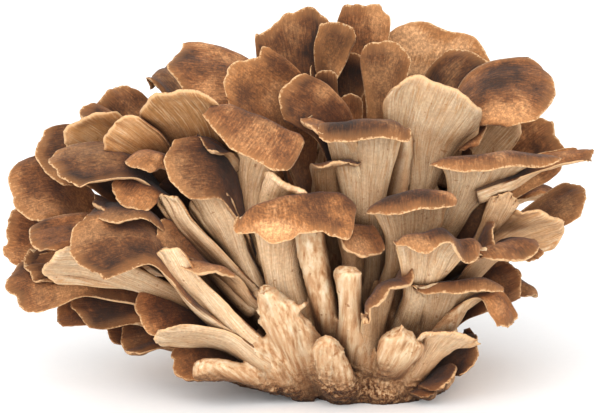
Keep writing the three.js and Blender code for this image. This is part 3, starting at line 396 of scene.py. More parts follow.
def frond_surface(frond, seed, u, v, stalk_bow, rim):
    """Upper side of a frond at the grid u (root to rim) by v (-1 to 1 across), in mm, with the
    thickness under it and what its finish follows."""
    _, path, width, face, own = frond
    shape = {**PLAIN, **own}
    root, neck, cap = (w / 2 for w in width)
    points, along, up, length = middle_line(path, face)
    steps = len(points) - 1
    angle = v * math.pi / 2
    across = np.sin(angle)
    flare = shape["flare"]
    s = np.clip((u - flare) / (1 - flare), 0, 1)
    half = np.where(u < flare, root + (neck - root) * smooth(u / flare),
                    neck + (cap - neck) * (0.55 * smooth(s) + 0.45 * np.sin(s * math.pi / 2)))
    # the sides are a little uneven, and the rim is rounded, wavy and cut to its own reach
    half = half + 0.02 * half * s * np.sin(31 * u + 3 * np.sign(v) + phase(seed, 4))
    edge = sum(a * np.sin(k * angle + phase(seed, k)) for k, a in EDGE_WAVES)
    rounding = shape["bulge"] * cap * (1 - np.cos(angle)) - shape["skew"] * across * cap
    crumpled = min(1.0, width[2] / CRUMPLED_WIDTH)
    distance = length * u - rounding * s**1.5 + shape["lobes"] * crumpled * edge * s**4
    distance = distance + between(shape["reach"], across) * s**1.5
    # the place and the directions there, going straight on past the end of the line
    at = np.maximum(distance / length, 0) * steps
    i = np.clip(np.floor(at).astype(int), 0, steps - 1)
    f = np.clip(at - i, 0, 3)[..., None]
    g = np.clip(f, 0, 1)
    centre = points[i] * (1 - f) + points[i + 1] * f
    t = along[i] * (1 - g) + along[i + 1] * g
    t /= np.linalg.norm(t, axis=2)[..., None]
    n = up[i] * (1 - g) + up[i + 1] * g
    n -= (n * t).sum(2)[..., None] * t
    n /= np.linalg.norm(n, axis=2)[..., None]
    side = np.cross(t, n)
    # the section bows one way in the stalk and another in the cap
    capness = smooth((u - 0.25) / 0.6)
    bow = np.radians(shape["cup"] * capness + stalk_bow * (1 - capness))
    bow = np.where(np.abs(bow) < 1e-4, 1e-4, bow)

    def near(start, sides):
        """0 to 1 towards the rim, from so far along the frond and from so far across it."""
        a = np.clip((u - start) / (1 - start), 0, 1)
        b = np.clip((np.abs(across) - sides) / (1 - sides), 0, 1) * capness * smooth(s)
        return 1 - (1 - a) * (1 - b)

    wide = near(0.45, 0.3)
    lift = between(shape["rise"], across) * wide**1.5 - shape["droop"] * near(0.7, 0.72) ** 2
    ruffle = shape["ruffle"] * crumpled
    lift = lift + ruffle * wide**1.6 * np.sin(shape["waves"] * angle + phase(seed, 21))
    lift = lift + 0.35 * ruffle * wide**2 * np.sin(
        (2 * shape["waves"] + 1) * angle + phase(seed, 22))
    frill = near(0.86, 0.9) ** 2 * np.sqrt(np.clip(np.cos(angle), 0, 1))
    lift = lift + 0.12 * frill * (np.sin(17 * angle + phase(seed, 23))
                                  + np.sin(29 * angle + 9 * u + phase(seed, 24)))
    place = (centre + side * (half * np.sin(bow * across) / bow)[..., None]
             + n * (half * (1 - np.cos(bow * across)) / bow + lift)[..., None])
    # thick in the stalk, thin in the cap, and closed at the sides
    stalk = shape["thick"] or min(STALK_MOST, STALK_SHARE * width[1])
    wings = smooth(s / 0.4) * np.clip(1.6 * np.abs(across), 0, 1)
    thin = np.maximum(smooth((u - 0.15) / 0.6), wings)
    thick = stalk + (1.5 * rim - stalk) * thin
    thick = thick * np.clip(np.cos(angle), 0, 1) ** (0.9 - 0.6 * thin * capness)
    return dict(place=place, thick=thick, u=u, across=across, angle=angle, length=length,
                capness=capness, shape=shape, s=s)


# ---- finishes
# short name: the node, its settings, the inputs that add fills in order, and the output it gives
NODES = {
    "place": ("ShaderNodeTexCoord", {}, (), "Object"),
    "own": ("ShaderNodeAttribute", {}, (), "Fac"),
    "own_way": ("ShaderNodeAttribute", {}, (), "Vector"),
    "scaled": ("ShaderNodeMapping", {"vector_type": "POINT"}, ("Scale", "Vector"), 0),
    "noise": ("ShaderNodeTexNoise", {}, ("Scale", "Detail", "Roughness", "Vector"), "Fac"),
    "occlusion_shade": ("ShaderNodeAmbientOcclusion", {"samples": 6}, ("Distance",), "AO"),
    "ramp": ("ShaderNodeValToRGB", {}, ("Fac",), "Color"),
    "mix": ("ShaderNodeMix", {"data_type": "RGBA"}, (0, 6, 7), 2),
    "tint": ("ShaderNodeMix", {"data_type": "RGBA", "blend_type": "MULTIPLY"}, (0, 6, 7), 2),
    "plus": ("ShaderNodeMath", {"operation": "ADD"}, (0, 1), 0),
    "minus": ("ShaderNodeMath", {"operation": "SUBTRACT"}, (0, 1), 0),
    "times": ("ShaderNodeMath", {"operation": "MULTIPLY"}, (0, 1), 0),
    "over": ("ShaderNodeMath", {"operation": "DIVIDE"}, (0, 1), 0),
    "away_from": ("ShaderNodeVectorMath", {"operation": "SUBTRACT"}, (0, 1), 0),
    "direction": ("ShaderNodeVectorMath", {"operation": "NORMALIZE"}, (0,), 0),
    "bump": ("ShaderNodeBump", {}, ("Strength", "Distance", "Height"), 0),
}
# fibres of the fused flesh fan up out of this point under the middle of the foot, in metres
FIBRE_SOURCE = (0.016, 0.0, -0.03)
# damp flesh: its index, and how far red, green and blue light goes into it in metres
FLESH_IOR = 1.4
FLESH_SCATTER = (0.004, 0.002, 0.001)


def add(tree, kind, *sources, stops=(), **settings):
    """Adds a node by its short name and gives its output. A source is a socket to link or a plain
    value to set, and the stops of a ramp are pairs of a position and a colour or a grey."""
    node_type, usual, inputs, result = NODES[kind]
    made = tree.nodes.new(node_type)
    for key, value in {**usual, **settings}.items():
        setattr(made, key, value)
    for key, source in zip(inputs, sources):
        socket = made.inputs[key]
        if isinstance(source, bpy.types.NodeSocket):
            tree.links.new(source, socket)
        else:
            socket.default_value = (*source, 1) if socket.type == "RGBA" else source
    while stops and len(made.color_ramp.elements) < len(stops):
        made.color_ramp.elements.new(0.5)
    for element, (position, colour) in zip(made.color_ramp.elements if stops else (), stops):
        element.position = position
        element.color = (*((colour,) * 3 if isinstance(colour, float) else colour), 1)
    return made.outputs[result]


def pattern(tree, where, cells, detail=3.0, rough=0.55):
    """Noise over a vector, with so many cells to a unit of it. Three numbers stretch it along its
    axes."""
    cells = (cells,) * 3 if isinstance(cells, int) else cells
    return add(tree, "noise", 1.0, detail, rough, add(tree, "scaled", cells, where))


def crevice_shade(tree, reach, darkest, open_at):
    """Painted shade: dark where the surface is hidden between its neighbours, from ambient
    occlusion;
    it looks so many metres round, and above open_at it leaves the flesh as it is."""
    occlusion_shade = add(tree, "occlusion_shade", reach)
    warm = (darkest, 0.62 * darkest, 0.4 * darkest)
    half_shade = (0.62, 0.46, 0.33)
    return add(tree, "ramp", occlusion_shade, stops=[
        (0.14, warm), (0.07 + 0.5 * open_at, half_shade), (open_at, (1.0, 1.0, 1.0))])


def blank(name):
    """A new node material with its shader."""
    made = bpy.data.materials.new(name)
    made.use_nodes = True
    tree = made.node_tree
    shader = next(n for n in tree.nodes if n.type == "BSDF_PRINCIPLED")
    return made, tree, shader


def relief(tree, shader, height, strength, depth):
    """Fine relief of the surface, so many metres deep, from a height pattern."""
    tree.links.new(add(tree, "bump", strength, depth, height), shader.inputs["Normal"])


def let_light_in(shader, roughness, weight):
    """Matt flesh that lets a little light through."""
    shader.inputs["Roughness"].default_value = roughness
    shader.inputs["IOR"].default_value = FLESH_IOR
    shader.inputs["Subsurface Weight"].default_value = weight
    shader.inputs["Subsurface Radius"].default_value = FLESH_SCATTER
    shader.inputs["Subsurface Scale"].default_value = 0.6


def cap_skin(colours):
    """Dry, velvety cap skin: a nap of short brown fibres that run from the stalk to the rim, darker
    and lighter in broad patches, going to a speckled tan margin with a thin pale edge. Its fibres
    are 5 mm long and about 60 stand side by side across a cap. The patches are 20 mm across. The
    real nap is under 0.2 mm and too fine to show, so its tufts are drawn 1.2 mm apart."""
    made, tree, shader = blank("maitake_cap_skin")
    grain = add(tree, "own_way", attribute_name="grain")
    edge, skin, pale, shade = (add(tree, "own", attribute_name=name)
                               for name in ("edge", "skin", "pale", "shade"))
    body = add(tree, "place")
    fibres = pattern(tree, grain, (1.3, 0.2, 1.0), 4.0, 0.6)
    nap = pattern(tree, body, 820, 4.0, 0.85)
    patch = pattern(tree, body, 48)
    tone = add(tree, "plus", add(tree, "times", fibres, 0.26), add(tree, "times", patch, 0.74))
    brown = add(tree, "ramp", tone, stops=[
        (0.39, colours["cap_dark"]), (0.5, colours["cap_brown"]), (0.61, colours["cap_light"])])
    tan = add(tree, "ramp", tone, stops=[
        (0.39, colours["cap_brown"]), (0.5, colours["cap_tan"]), (0.61, colours["cap_gold"])])
    colour = add(tree, "mix", pale, brown, tan)
    # each frond's lightness from its shade: random from its seed, or a set tone that on some fronds
    # is painted shade or painted light
    lightness = add(tree, "ramp", shade, stops=[(0.0, 0.3), (0.5, 0.97), (1.0, 1.5)])
    colour = add(tree, "tint", 1.0, colour, lightness)
    # caps darken from the rim to 30 mm inside it: partly the skin's own colour, partly painted
    # shade towards the stalk
    inner = add(tree, "ramp", add(tree, "over", edge, 30.0), stops=[
        (0.0, 1.12), (0.35, 1.0), (1.0, 0.68)])
    colour = add(tree, "tint", 1.0, colour, inner)
    tufts = add(tree, "ramp", nap, stops=[(0.36, 0.5), (0.5, 0.93), (0.64, 1.7)])
    colour = add(tree, "tint", 0.85, colour, tufts)
    # towards the stalk the skin gives way to flesh
    flesh = add(tree, "ramp", fibres, stops=[
        (0.3, colours["flesh_shade"]), (0.55, colours["flesh"])])
    frayed = add(tree, "times", add(tree, "minus", fibres, 0.5), 0.7)
    covered = add(tree, "ramp", add(tree, "plus", skin, frayed), stops=[(0.12, 0.0), (0.5, 1.0)])
    colour = add(tree, "mix", covered, flesh, colour)
    # the margin: a warm speckled zone of 5 mm, then a pale edge under 1 mm wide
    speckle = add(tree, "times", add(tree, "minus", nap, 0.5), 5.0)
    ragged = add(tree, "plus", edge, speckle)
    warm = add(tree, "ramp", add(tree, "over", ragged, 5.0), stops=[
        (0.0, 0.8), (0.3, 0.4), (1.0, 0.0)])
    colour = add(tree, "mix", warm, colour, colours["edge_warm"])
    line = add(tree, "ramp", add(tree, "over", ragged, 1.2), stops=[(0.0, 0.85), (0.55, 0.0)])
    colour = add(tree, "mix", line, colour, colours["edge_pale"])
    # painted shade in the crevices between fronds, from ambient occlusion
    colour = add(tree, "tint", 1.0, colour, crevice_shade(tree, 0.03, 0.1, 0.72))
    tree.links.new(colour, shader.inputs["Base Color"])
    rough = add(tree, "ramp", nap, stops=[(0.3, 0.75), (0.7, 0.95)])
    tree.links.new(rough, shader.inputs["Roughness"])
    shader.inputs["IOR"].default_value = FLESH_IOR
    shader.inputs["Sheen Weight"].default_value = 0.06
    shader.inputs["Sheen Roughness"].default_value = 0.5
    height = add(tree, "plus", add(tree, "times", fibres, 0.6), add(tree, "times", nap, 0.8))
    relief(tree, shader, height, 0.6, 0.0007)
    return made


def pore_side(colours):
    """Underside and stalk: matt cream flesh with fine lines that run out to the rim, tan where the
    pores begin and golden brown towards the edge. The lines are 17 mm long, about 65 across a cap,
    and the pleats twice as wide and long. Stains are 12 mm across and rust specks 2 mm. The pores
    are under 0.3 mm and too fine to show, so they are drawn as grit of 1.1 mm."""
    made, tree, shader = blank("maitake_pore_side")
    grain = add(tree, "own_way", attribute_name="grain")
    edge, skin, shade, pores = (add(tree, "own", attribute_name=name)
                                for name in ("edge", "skin", "shade", "pores"))
    body = add(tree, "place")
    lines = pattern(tree, grain, (1.5, 0.06, 1.0), 4.0, 0.62)
    folds = pattern(tree, grain, (0.6, 0.03, 1.0), 2.0, 0.5)
    mottle = pattern(tree, body, 85, 4.0, 0.6)
    fine = pattern(tree, body, 900, 2.0, 0.6)
    flesh = add(tree, "ramp", lines, stops=[
        (0.26, colours["flesh_shade"]), (0.42, colours["flesh"]), (0.72, colours["flesh_light"])])
    tan = add(tree, "ramp", lines, stops=[
        (0.34, colours["pore_brown"]), (0.5, colours["pore_tan"]), (0.68, colours["flesh"])])
    # the pores begin raggedly, some way up the stalk
    frayed = add(tree, "times", add(tree, "minus", lines, 0.5), 1.1)
    reach = add(tree, "ramp", add(tree, "plus", skin, frayed), stops=[(0.3, 0.0), (0.95, 1.0)])
    colour = add(tree, "mix", add(tree, "times", reach, pores), flesh, tan)
    soft = add(tree, "ramp", folds, stops=[(0.36, 0.86), (0.5, 1.0), (0.7, 1.06)])
    colour = add(tree, "tint", 0.8, colour, soft)
    streaks = add(tree, "ramp", folds, stops=[
        (0.4, 0.0), (0.44, 0.75), (0.49, 0.0), (0.55, 0.0), (0.575, 0.5), (0.6, 0.0)])
    colour = add(tree, "mix", streaks, colour, colours["pore_tan"])
    stain = add(tree, "ramp", mottle, stops=[(0.46, 0.0), (0.74, 0.6)])
    colour = add(tree, "mix", stain, colour, colours["flesh_shade"])
    # each frond's lightness from its shade: random from its seed, or a set tone that on some fronds
    # is painted shade or painted light
    lightness = add(tree, "ramp", shade, stops=[(0.0, 0.8), (0.5, 1.0), (1.0, 1.16)])
    colour = add(tree, "tint", 1.0, colour, lightness)
    # painted light: the undersides that have no pores at all are drawn up to half again as light
    painted_light_lift = add(tree, "ramp", pores, stops=[(0.0, 1.5), (0.08, 1.0)])
    colour = add(tree, "tint", 1.0, colour, painted_light_lift)
    grit = add(tree, "ramp", fine, stops=[(0.35, 0.84), (0.65, 1.1)])
    colour = add(tree, "tint", 0.8, colour, grit)
    line = add(tree, "ramp", edge, stops=[(0.1, 0.7), (0.8, 0.0)])
    colour = add(tree, "mix", add(tree, "times", line, skin), colour, colours["edge_pale"])
    specks = add(tree, "ramp", pattern(tree, body, 420, 2.0, 0.5), stops=[
        (0.68, 0.0), (0.74, 0.7)])
    colour = add(tree, "mix", specks, colour, colours["flesh_rust"])
    # painted shade in the crevices between fronds, from ambient occlusion
    colour = add(tree, "tint", 1.0, colour, crevice_shade(tree, 0.034, 0.09, 0.56))
    tree.links.new(colour, shader.inputs["Base Color"])
    let_light_in(shader, 0.8, 0.12)
    height = add(tree, "plus", lines, add(tree, "times", fine, 0.35))
    relief(tree, shader, height, 0.45, 0.0006)
    return made


def base_flesh(colours):
    """Fused flesh of the core: cream fibres fan up out of the foot, which is stained and grown
    through with brown crumbs of the wood it stood on. At mid height the fibres are 1 mm apart and
    the pleats 4 mm. Stains are 9 mm across, rust specks 3 mm and crumbs 1.2 mm."""
    made, tree, shader = blank("maitake_base_flesh")
    body = add(tree, "place")
    crumbs = add(tree, "own", attribute_name="crumb")
    ray = add(tree, "direction", add(tree, "away_from", body, FIBRE_SOURCE))
    lines = pattern(tree, ray, 52, 4.0, 0.6)
    folds = pattern(tree, ray, 17, 2.0, 0.5)
    mottle = pattern(tree, body, 110, 4.0, 0.6)
    fine = pattern(tree, body, 800, 3.0, 0.65)
    colour = add(tree, "ramp", lines, stops=[
        (0.28, colours["flesh_rust"]), (0.45, colours["flesh_shade"]), (0.54, colours["flesh"]),
        (0.74, colours["flesh_light"])])
    soft = add(tree, "ramp", folds, stops=[(0.34, 0.72), (0.5, 1.0), (0.7, 1.08)])
    colour = add(tree, "tint", 0.8, colour, soft)
    stain = add(tree, "ramp", mottle, stops=[(0.42, 0.0), (0.66, 1.0)])
    colour = add(tree, "mix", add(tree, "times", stain, 0.7), colour, colours["flesh_shade"])
    specks = add(tree, "ramp", pattern(tree, body, 380, 2.0, 0.5), stops=[
        (0.67, 0.0), (0.73, 0.8)])
    colour = add(tree, "mix", specks, colour, colours["flesh_rust"])
    grains = add(tree, "ramp", fine, stops=[
        (0.4, colours["crumb_dark"]), (0.49, colours["crumb"]), (0.58, colours["flesh"])])
    colour = add(tree, "mix", crumbs, colour, grains)
    # painted shade in the crevices of the core, from ambient occlusion
    colour = add(tree, "tint", 1.0, colour, crevice_shade(tree, 0.034, 0.1, 0.56))
    tree.links.new(colour, shader.inputs["Base Color"])
    let_light_in(shader, 0.85, 0.1)
    height = add(tree, "plus", lines, add(tree, "times", fine, 0.6))
    relief(tree, shader, height, 0.7, 0.0008)
    return made


def white_card(colours):
    """Matt white card with a tooth of 3 mm, that the cluster stands on."""
    made, tree, shader = blank("white_card")
    tooth = add(tree, "ramp", pattern(tree, add(tree, "place"), 300, 2.0), stops=[
        (0.3, 0.985), (0.7, 1.0)])
    colour = add(tree, "tint", 1.0, colours["card"], tooth)
    tree.links.new(colour, shader.inputs["Base Color"])
    shader.inputs["Roughness"].default_value = 0.9
    return made


# ---- sizes and colours a user would change
def length_property(name, description, default):
    return bpy.props.FloatProperty(name=name, description=description, default=default,
                                   subtype="DISTANCE", unit="LENGTH", min=0.0)


def colour_property(name, description, default):
    return bpy.props.FloatVectorProperty(name=name, description=description,
                                         default=linear(default), subtype="COLOR", size=3,
                                         min=0.0, max=1.0)


def angle_property(name, description, degrees):
    return bpy.props.FloatProperty(name=name, description=description,
                                   default=math.radians(degrees), subtype="ANGLE")


def strength_property(name, description, default):
    return bpy.props.FloatProperty(name=name, description=description, default=default, min=0.0)


def steps_property(name, description, default):
    return bpy.props.IntProperty(name=name, description=description, default=default, min=8)


class MaitakeSizes(bpy.types.PropertyGroup):
    rim: length_property("Rim thickness", "Thickness of a cap at its edge", 1.6 * MM)
    rib: length_property("Pleat depth", "Depth of the pleats under a cap", 0.6 * MM)
    lip: length_property("Lip", "How far a cap's edge turns down", 1.8 * MM)
    voxel: length_property("Core detail", "Size of the smallest form on the core", 1.1 * MM)
    crumb: length_property("Crumb size", "Height of the crumbs on the foot", 1.6 * MM)
    stalk_bow: angle_property("Stalk bow", "How far a stalk's section bows", 12)
    along: steps_property("Steps along", "Mesh steps along a wide frond", 53)
    across: steps_property("Steps across", "Mesh steps across a wide frond", 43)


class MaitakeColours(bpy.types.PropertyGroup):
    cap_dark: colour_property("Cap, dark", "Darkest fibres of the cap skin", "#3A2110")
    cap_brown: colour_property("Cap, brown", "Middle brown of the cap skin", "#704424")
    cap_light: colour_property("Cap, light", "Lightest fibres of the cap skin", "#A5744A")
    cap_tan: colour_property("Cap, tan", "Middle of the palest caps", "#96653A")
    cap_gold: colour_property("Cap, gold", "Light fibres of the palest caps", "#B98C62")
    edge_warm: colour_property("Edge, warm", "Warm zone inside the growing edge", "#9A673A")
    edge_pale: colour_property("Edge, pale", "Pale line of the growing edge", "#D6AE80")
    flesh_light: colour_property("Flesh, light", "Lightest flesh", "#E3CFB2")
    flesh: colour_property("Flesh", "Stalks and undersides", "#CDB08B")
    flesh_shade: colour_property("Flesh, stained", "Stains on the flesh", "#BC936B")
    flesh_rust: colour_property("Flesh, rust", "Rust-coloured lines and specks", "#8A572B")
    pore_tan: colour_property("Pores, tan", "Underside of the caps", "#AF7B47")
    pore_brown: colour_property("Pores, brown", "Dark lines under the caps", "#855831")
    crumb: colour_property("Crumbs", "Crumbs on the foot", "#94663A")
    crumb_dark: colour_property("Crumbs, dark", "Dark crumbs on the foot", "#54341A")
    card: colour_property("Card", "The board underneath", "#FAFAFA")


class MaitakeStage(bpy.types.PropertyGroup):
    elevation: angle_property("Elevation", "Camera above the horizon", 11.3)
    distance: length_property("Distance", "Camera to the middle of the cluster", 3.0)
    width: length_property("Field width", "Width of the view at the cluster", 0.24)
    height: length_property("Aim height", "Height that the camera looks at", 0.0718)
    key: strength_property("Key light", "Strength of the main soft light", 2.75)
    fill: strength_property("Fill light", "Strength of the second soft light", 0.8)
    key_tilt: angle_property("Light tilt", "Lights' angle from overhead", 65)
    key_turn: angle_property("Light turn", "Lights' angle to the side", -14)
    softness: angle_property("Softness", "Width of the lights in the sky", 60)
    sky: strength_property("Room light", "Strength of the room's own light", 1.0)


def palette(context):
    """The user's colours by name."""
    group = context.scene.maitake_colours
    return {name: tuple(getattr(group, name)) for name in MaitakeColours.__annotations__}


# ---- fronds as meshes
FINISHES = {}
SHEETS = {}
# the units of a frond's grain from its middle to its side, and between one frond's and the next's
GRAIN_ACROSS, GRAIN_APART = 22, 17.0
# a cap at least this wide, in mm, gets the full mesh, and a narrower one this share of it
WIDE_CAP, NARROW_SHARE = 26, 0.75
# how far from the edge a cap starts to turn down, in mm
LIP_ZONE = 6.0
# what is added in mm to the distance from a stalk's sides
STALK_INSIDE = 40
# mesh steps along and across the end of a frond that is fused into the core
ROOT_STEPS = (14, 12)
# a frond that starts below this height grows out of the core, which holds so much of it, in mm
ROOT_BELOW, ROOT_LENGTH = 35, 58
# a stub of the core at least this pale is bare flesh; stubs' rims are so much thicker than caps'
FLESHY_PALE, STUB_RIM = 0.8, 2.4
# the radius in mm of what isn't bent
NO_BEND = 99.0
# how thick a bent frond may be as a share of the bend's radius, its least thickness in mm, and how
# many times the thinning is smoothed
BEND_SHARE, BEND_LEAST, EASING_ROUNDS = 0.6, 0.15, 6
# how short an underside may be beside its upper side before it is thinned, how much it is thinned
# each time, its least thickness then in mm, and how many times
FOLD_SHARE, FOLD_THINNED, FOLD_LEAST, FOLD_ROUNDS = 0.12, 0.72, 0.12, 10


def finish(name, context):
    """A finish is made once and shared by every piece that has it."""
    makers = {"cap": cap_skin, "pore": pore_side, "base": base_flesh}
    if name not in FINISHES:
        FINISHES[name] = makers[name](palette(context))
    return FINISHES[name]


def select(*objects):
    """Selects these alone, with the first as the active one."""
    bpy.ops.object.select_all(action="DESELECT")
    for thing in objects:
        thing.select_set(True)
    bpy.context.view_layer.objects.active = objects[0]


def flat_sheet(rows, columns):
    """A flat grid of unit size, made once for each size and copied for each frond."""
    if (rows, columns) not in SHEETS:
        bpy.ops.object.select_all(action="DESELECT")
        bpy.ops.mesh.primitive_grid_add(x_subdivisions=columns, y_subdivisions=rows, size=1)
        sheet = bpy.context.object
        mesh = sheet.data
        flat = np.zeros(len(mesh.vertices) * 3)
        mesh.vertices.foreach_get("co", flat)
        flat = flat.reshape(-1, 3)
        cells = (np.rint((flat[:, 1] + 0.5) * rows).astype(int),
                 np.rint((flat[:, 0] + 0.5) * columns).astype(int))
        bpy.context.collection.objects.unlink(sheet)
        SHEETS[rows, columns] = (sheet, cells)
    return SHEETS[rows, columns]


def edge_distance(place, weight):
    """Distance in mm from each point to the cap's edge, over the surface. The weight is 1 in the
    cap and 0 in the stalk, whose sides aren't an edge."""
    ahead = np.linalg.norm(np.diff(place, axis=0), axis=2)
    to_front = np.zeros(place.shape[:2])
    to_front[:-1] = np.cumsum(ahead[::-1], axis=0)[::-1]
    beside = np.linalg.norm(np.diff(place, axis=1), axis=2)
    left = np.zeros(place.shape[:2])
    left[:, 1:] = np.cumsum(beside, axis=1)
    right = np.zeros(place.shape[:2])
    right[:, :-1] = np.cumsum(beside[:, ::-1], axis=1)[:, ::-1]
    return np.minimum(to_front, np.minimum(left, right) + STALK_INSIDE * (1 - weight))


def facing(place):
    """The way that each point of a frond's upper side faces."""
    n = np.cross(np.gradient(place, axis=1), np.gradient(place, axis=0))
    return n / np.maximum(np.linalg.norm(n, axis=2), 1e-9)[..., None]


def grain_of(points, scale):
    """Smooth noise at each point, scale cells to a unit."""
    flat = points.reshape(-1, 3) * scale
    return np.array([noise.noise(Vector(p)) for p in flat]).reshape(points.shape[:-1])


def pleats(made, seed, depth):
    """Ridges under the frond, fine and uneven, that fan out of the stalk."""
    drift = 0.05 * np.sin(5 * made["u"] + phase(seed, 31))
    lean = made["across"] + drift + 0.03 * np.sin(7 * made["across"] + 4 * made["u"])
    stalk = sum(a * np.sin(k * lean + phase(seed, 40 + k)) for k, a in ((5, 0.2), (9, 0.12)))
    under = sum(a * np.sin(k * lean + phase(seed, 40 + k))
                for k, a in ((17, 0.6), (29, 0.5), (41, 0.3)))
    both = stalk * (1 - made["capness"]) + under * made["capness"]
    swell = 0.6 + 0.4 * np.sin(6 * lean + 3 * made["u"] + phase(seed, 32))
    fade = swell * smooth(made["u"] / 0.12) * (1 - smooth((made["u"] - 0.85) / 0.15))
    return depth * made["shape"]["ribs"] * 0.5 * both * fade * np.cos(made["angle"])


def refine(made, seed, lip):
    """Turns the cap's edge down, and gives the upper side its low, uneven relief."""
    place = made["place"]
    out = facing(place)
    uneven = 0.65 + 0.35 * np.sin(4 * made["angle"] + phase(seed, 51))
    turned = np.clip(1 - made["edge"] / LIP_ZONE, 0, 1) ** 2
    # dents of 9 mm and 4 mm
    dents = 0.55 * grain_of(place + seed * 9.0, 1 / 9.0) + 0.25 * grain_of(place, 1 / 4.0)
    front = smooth((made["s"] - 0.35) / 0.5)
    lift = dents * made["skin"] - lip * uneven * turned * front
    return place + out * lift[..., None]


def both_sides(axis):
    """How to give what lies between two points along an axis to the one and to the other."""
    return [[side, (0, 0)] if axis == 0 else [(0, 0), side] for side in ((0, 1), (1, 0))]


def eased(place, thick):
    """Thins a frond where it is bent or curled more tightly than it is thick, so that its underside
    doesn't come out through its upper side."""
    out = facing(place)
    # no thicker than the bends on either side of a point allow
    for axis in (0, 1):
        step = np.linalg.norm(np.diff(place, axis=axis), axis=2)
        radius = step / np.maximum(np.linalg.norm(np.diff(out, axis=axis), axis=2), 1e-6)
        for side in both_sides(axis):
            room = np.pad(radius, side, constant_values=NO_BEND)
            thick = np.minimum(thick, np.maximum(BEND_SHARE * room, BEND_LEAST))
    # the thinning runs out smoothly
    for _ in range(EASING_ROUNDS):
        near = np.pad(thick, 1, mode="edge")
        mean = (near[:-2, 1:-1] + near[2:, 1:-1] + near[1:-1, :-2] + near[1:-1, 2:]) / 4
        thick = np.minimum(thick, 0.25 * thick + 0.75 * mean)
    # where the underside still folds back on itself, thinned step by step
    for _ in range(FOLD_ROUNDS):
        under = place - out * thick[..., None]
        tight = np.zeros(thick.shape, bool)
        for axis in (0, 1):
            step, below = np.diff(place, axis=axis), np.diff(under, axis=axis)
            folded = (step * below).sum(2) < FOLD_SHARE * (step * step).sum(2)
            for side in both_sides(axis):
                tight |= np.pad(folded, side)
        thick = np.where(tight, np.maximum(thick * FOLD_THINNED, FOLD_LEAST), thick)
    return thick


def write_attribute(mesh, name, values, kind="FLOAT"):
    """Keeps a value at each point of a mesh for its finish to read."""
    layer = mesh.attributes.new(name, kind, "POINT")
    layer.data.foreach_set("vector" if kind == "FLOAT_VECTOR" else "value", values.ravel())


def spread(context, spec, coarse):
    """The mesh steps along and across a frond, closer together towards its edges."""
    sizes = context.scene.maitake_sizes
    share = 1.0 if spec[2][2] >= WIDE_CAP else NARROW_SHARE
    rows, columns = ROOT_STEPS if coarse else (int(sizes.along * share), int(sizes.across * share))
    t, w = np.linspace(0, 1, rows + 1), np.linspace(-1, 1, columns + 1)
    if not coarse:
        t = 1 - (1 - t) ** 1.55
        w = 0.45 * w + 0.55 * np.arcsin(w) * 2 / math.pi
    return rows, columns, *np.meshgrid(t, w, indexing="ij")


def shell(thing, thick, over):
    """Gives a sheet its thickness underneath, as a closed shell."""
    most = float(thick.max())
    group = thing.vertex_groups.new(name="thickness")
    for index, value in enumerate(thick.ravel() / most):
        group.add([index], float(value), "REPLACE")
    select(thing)
    solid = thing.modifiers.new("thickness", "SOLIDIFY")
    solid.thickness = most * MM
    solid.offset = -1
    solid.vertex_group = "thickness"
    solid.use_rim = True
    solid.material_offset = over
    bpy.ops.object.modifier_apply(modifier=solid.name)
    thing.vertex_groups.clear()


def copied_sheet(context, rows, columns):
    """A frond's own copy of the flat sheet, with the row and column of each of its points."""
    sheet, cells = flat_sheet(rows, columns)
    thing = sheet.copy()
    thing.data = sheet.data.copy()
    context.collection.objects.link(thing)
    return thing, cells


def fleshy(spec):
    """Whether a stub is bare flesh, that grows out of the core without a seam."""
    return spec[0] == "core" and spec[4].get("pale", 0) >= FLESHY_PALE


def frond_root(context, spec, seed):
    """What of a frond is fused into the core: all of a stub of flesh, or only the lower end of a
    frond, a little thicker than it."""
    sizes = context.scene.maitake_sizes
    whole = fleshy(spec)
    length = sum(math.dist(a, b) for a, b in zip(spec[1], spec[1][1:]))
    reach, swell = (1.0, 0.0) if whole else (min(0.5, ROOT_LENGTH / length), 0.5)
    rows, columns, u, v = spread(context, spec, not whole)
    spec = [*spec[:2], [spec[2][0] + 2 * swell, spec[2][1] + 2 * swell, spec[2][2]], *spec[3:]]
    rim = sizes.rim / MM * (STUB_RIM if whole else 1)
    made = frond_surface(spec, seed, u * reach, v, math.degrees(sizes.stalk_bow), rim)
    thick = made["thick"] + (2 * swell + 1.0) * (1 - smooth((u - 0.35) / 0.65)) - 1.0
    thick = made["thick"] + 0.4 if whole else thick
    thing, (row, column) = copied_sheet(context, rows, columns)
    thing.data.vertices.foreach_set("co", (made["place"][row, column] * MM).ravel())
    shell(thing, np.maximum(thick, 0.4)[row, column], 0)
    return thing


def keep_above_floor(mesh):
    """Lifts what would touch the card a little off it."""
    flat = np.zeros(len(mesh.vertices) * 3)
    mesh.vertices.foreach_get("co", flat)
    flat[2::3] = np.maximum(flat[2::3], FLOOR + 0.2 * MM)
    mesh.vertices.foreach_set("co", flat)


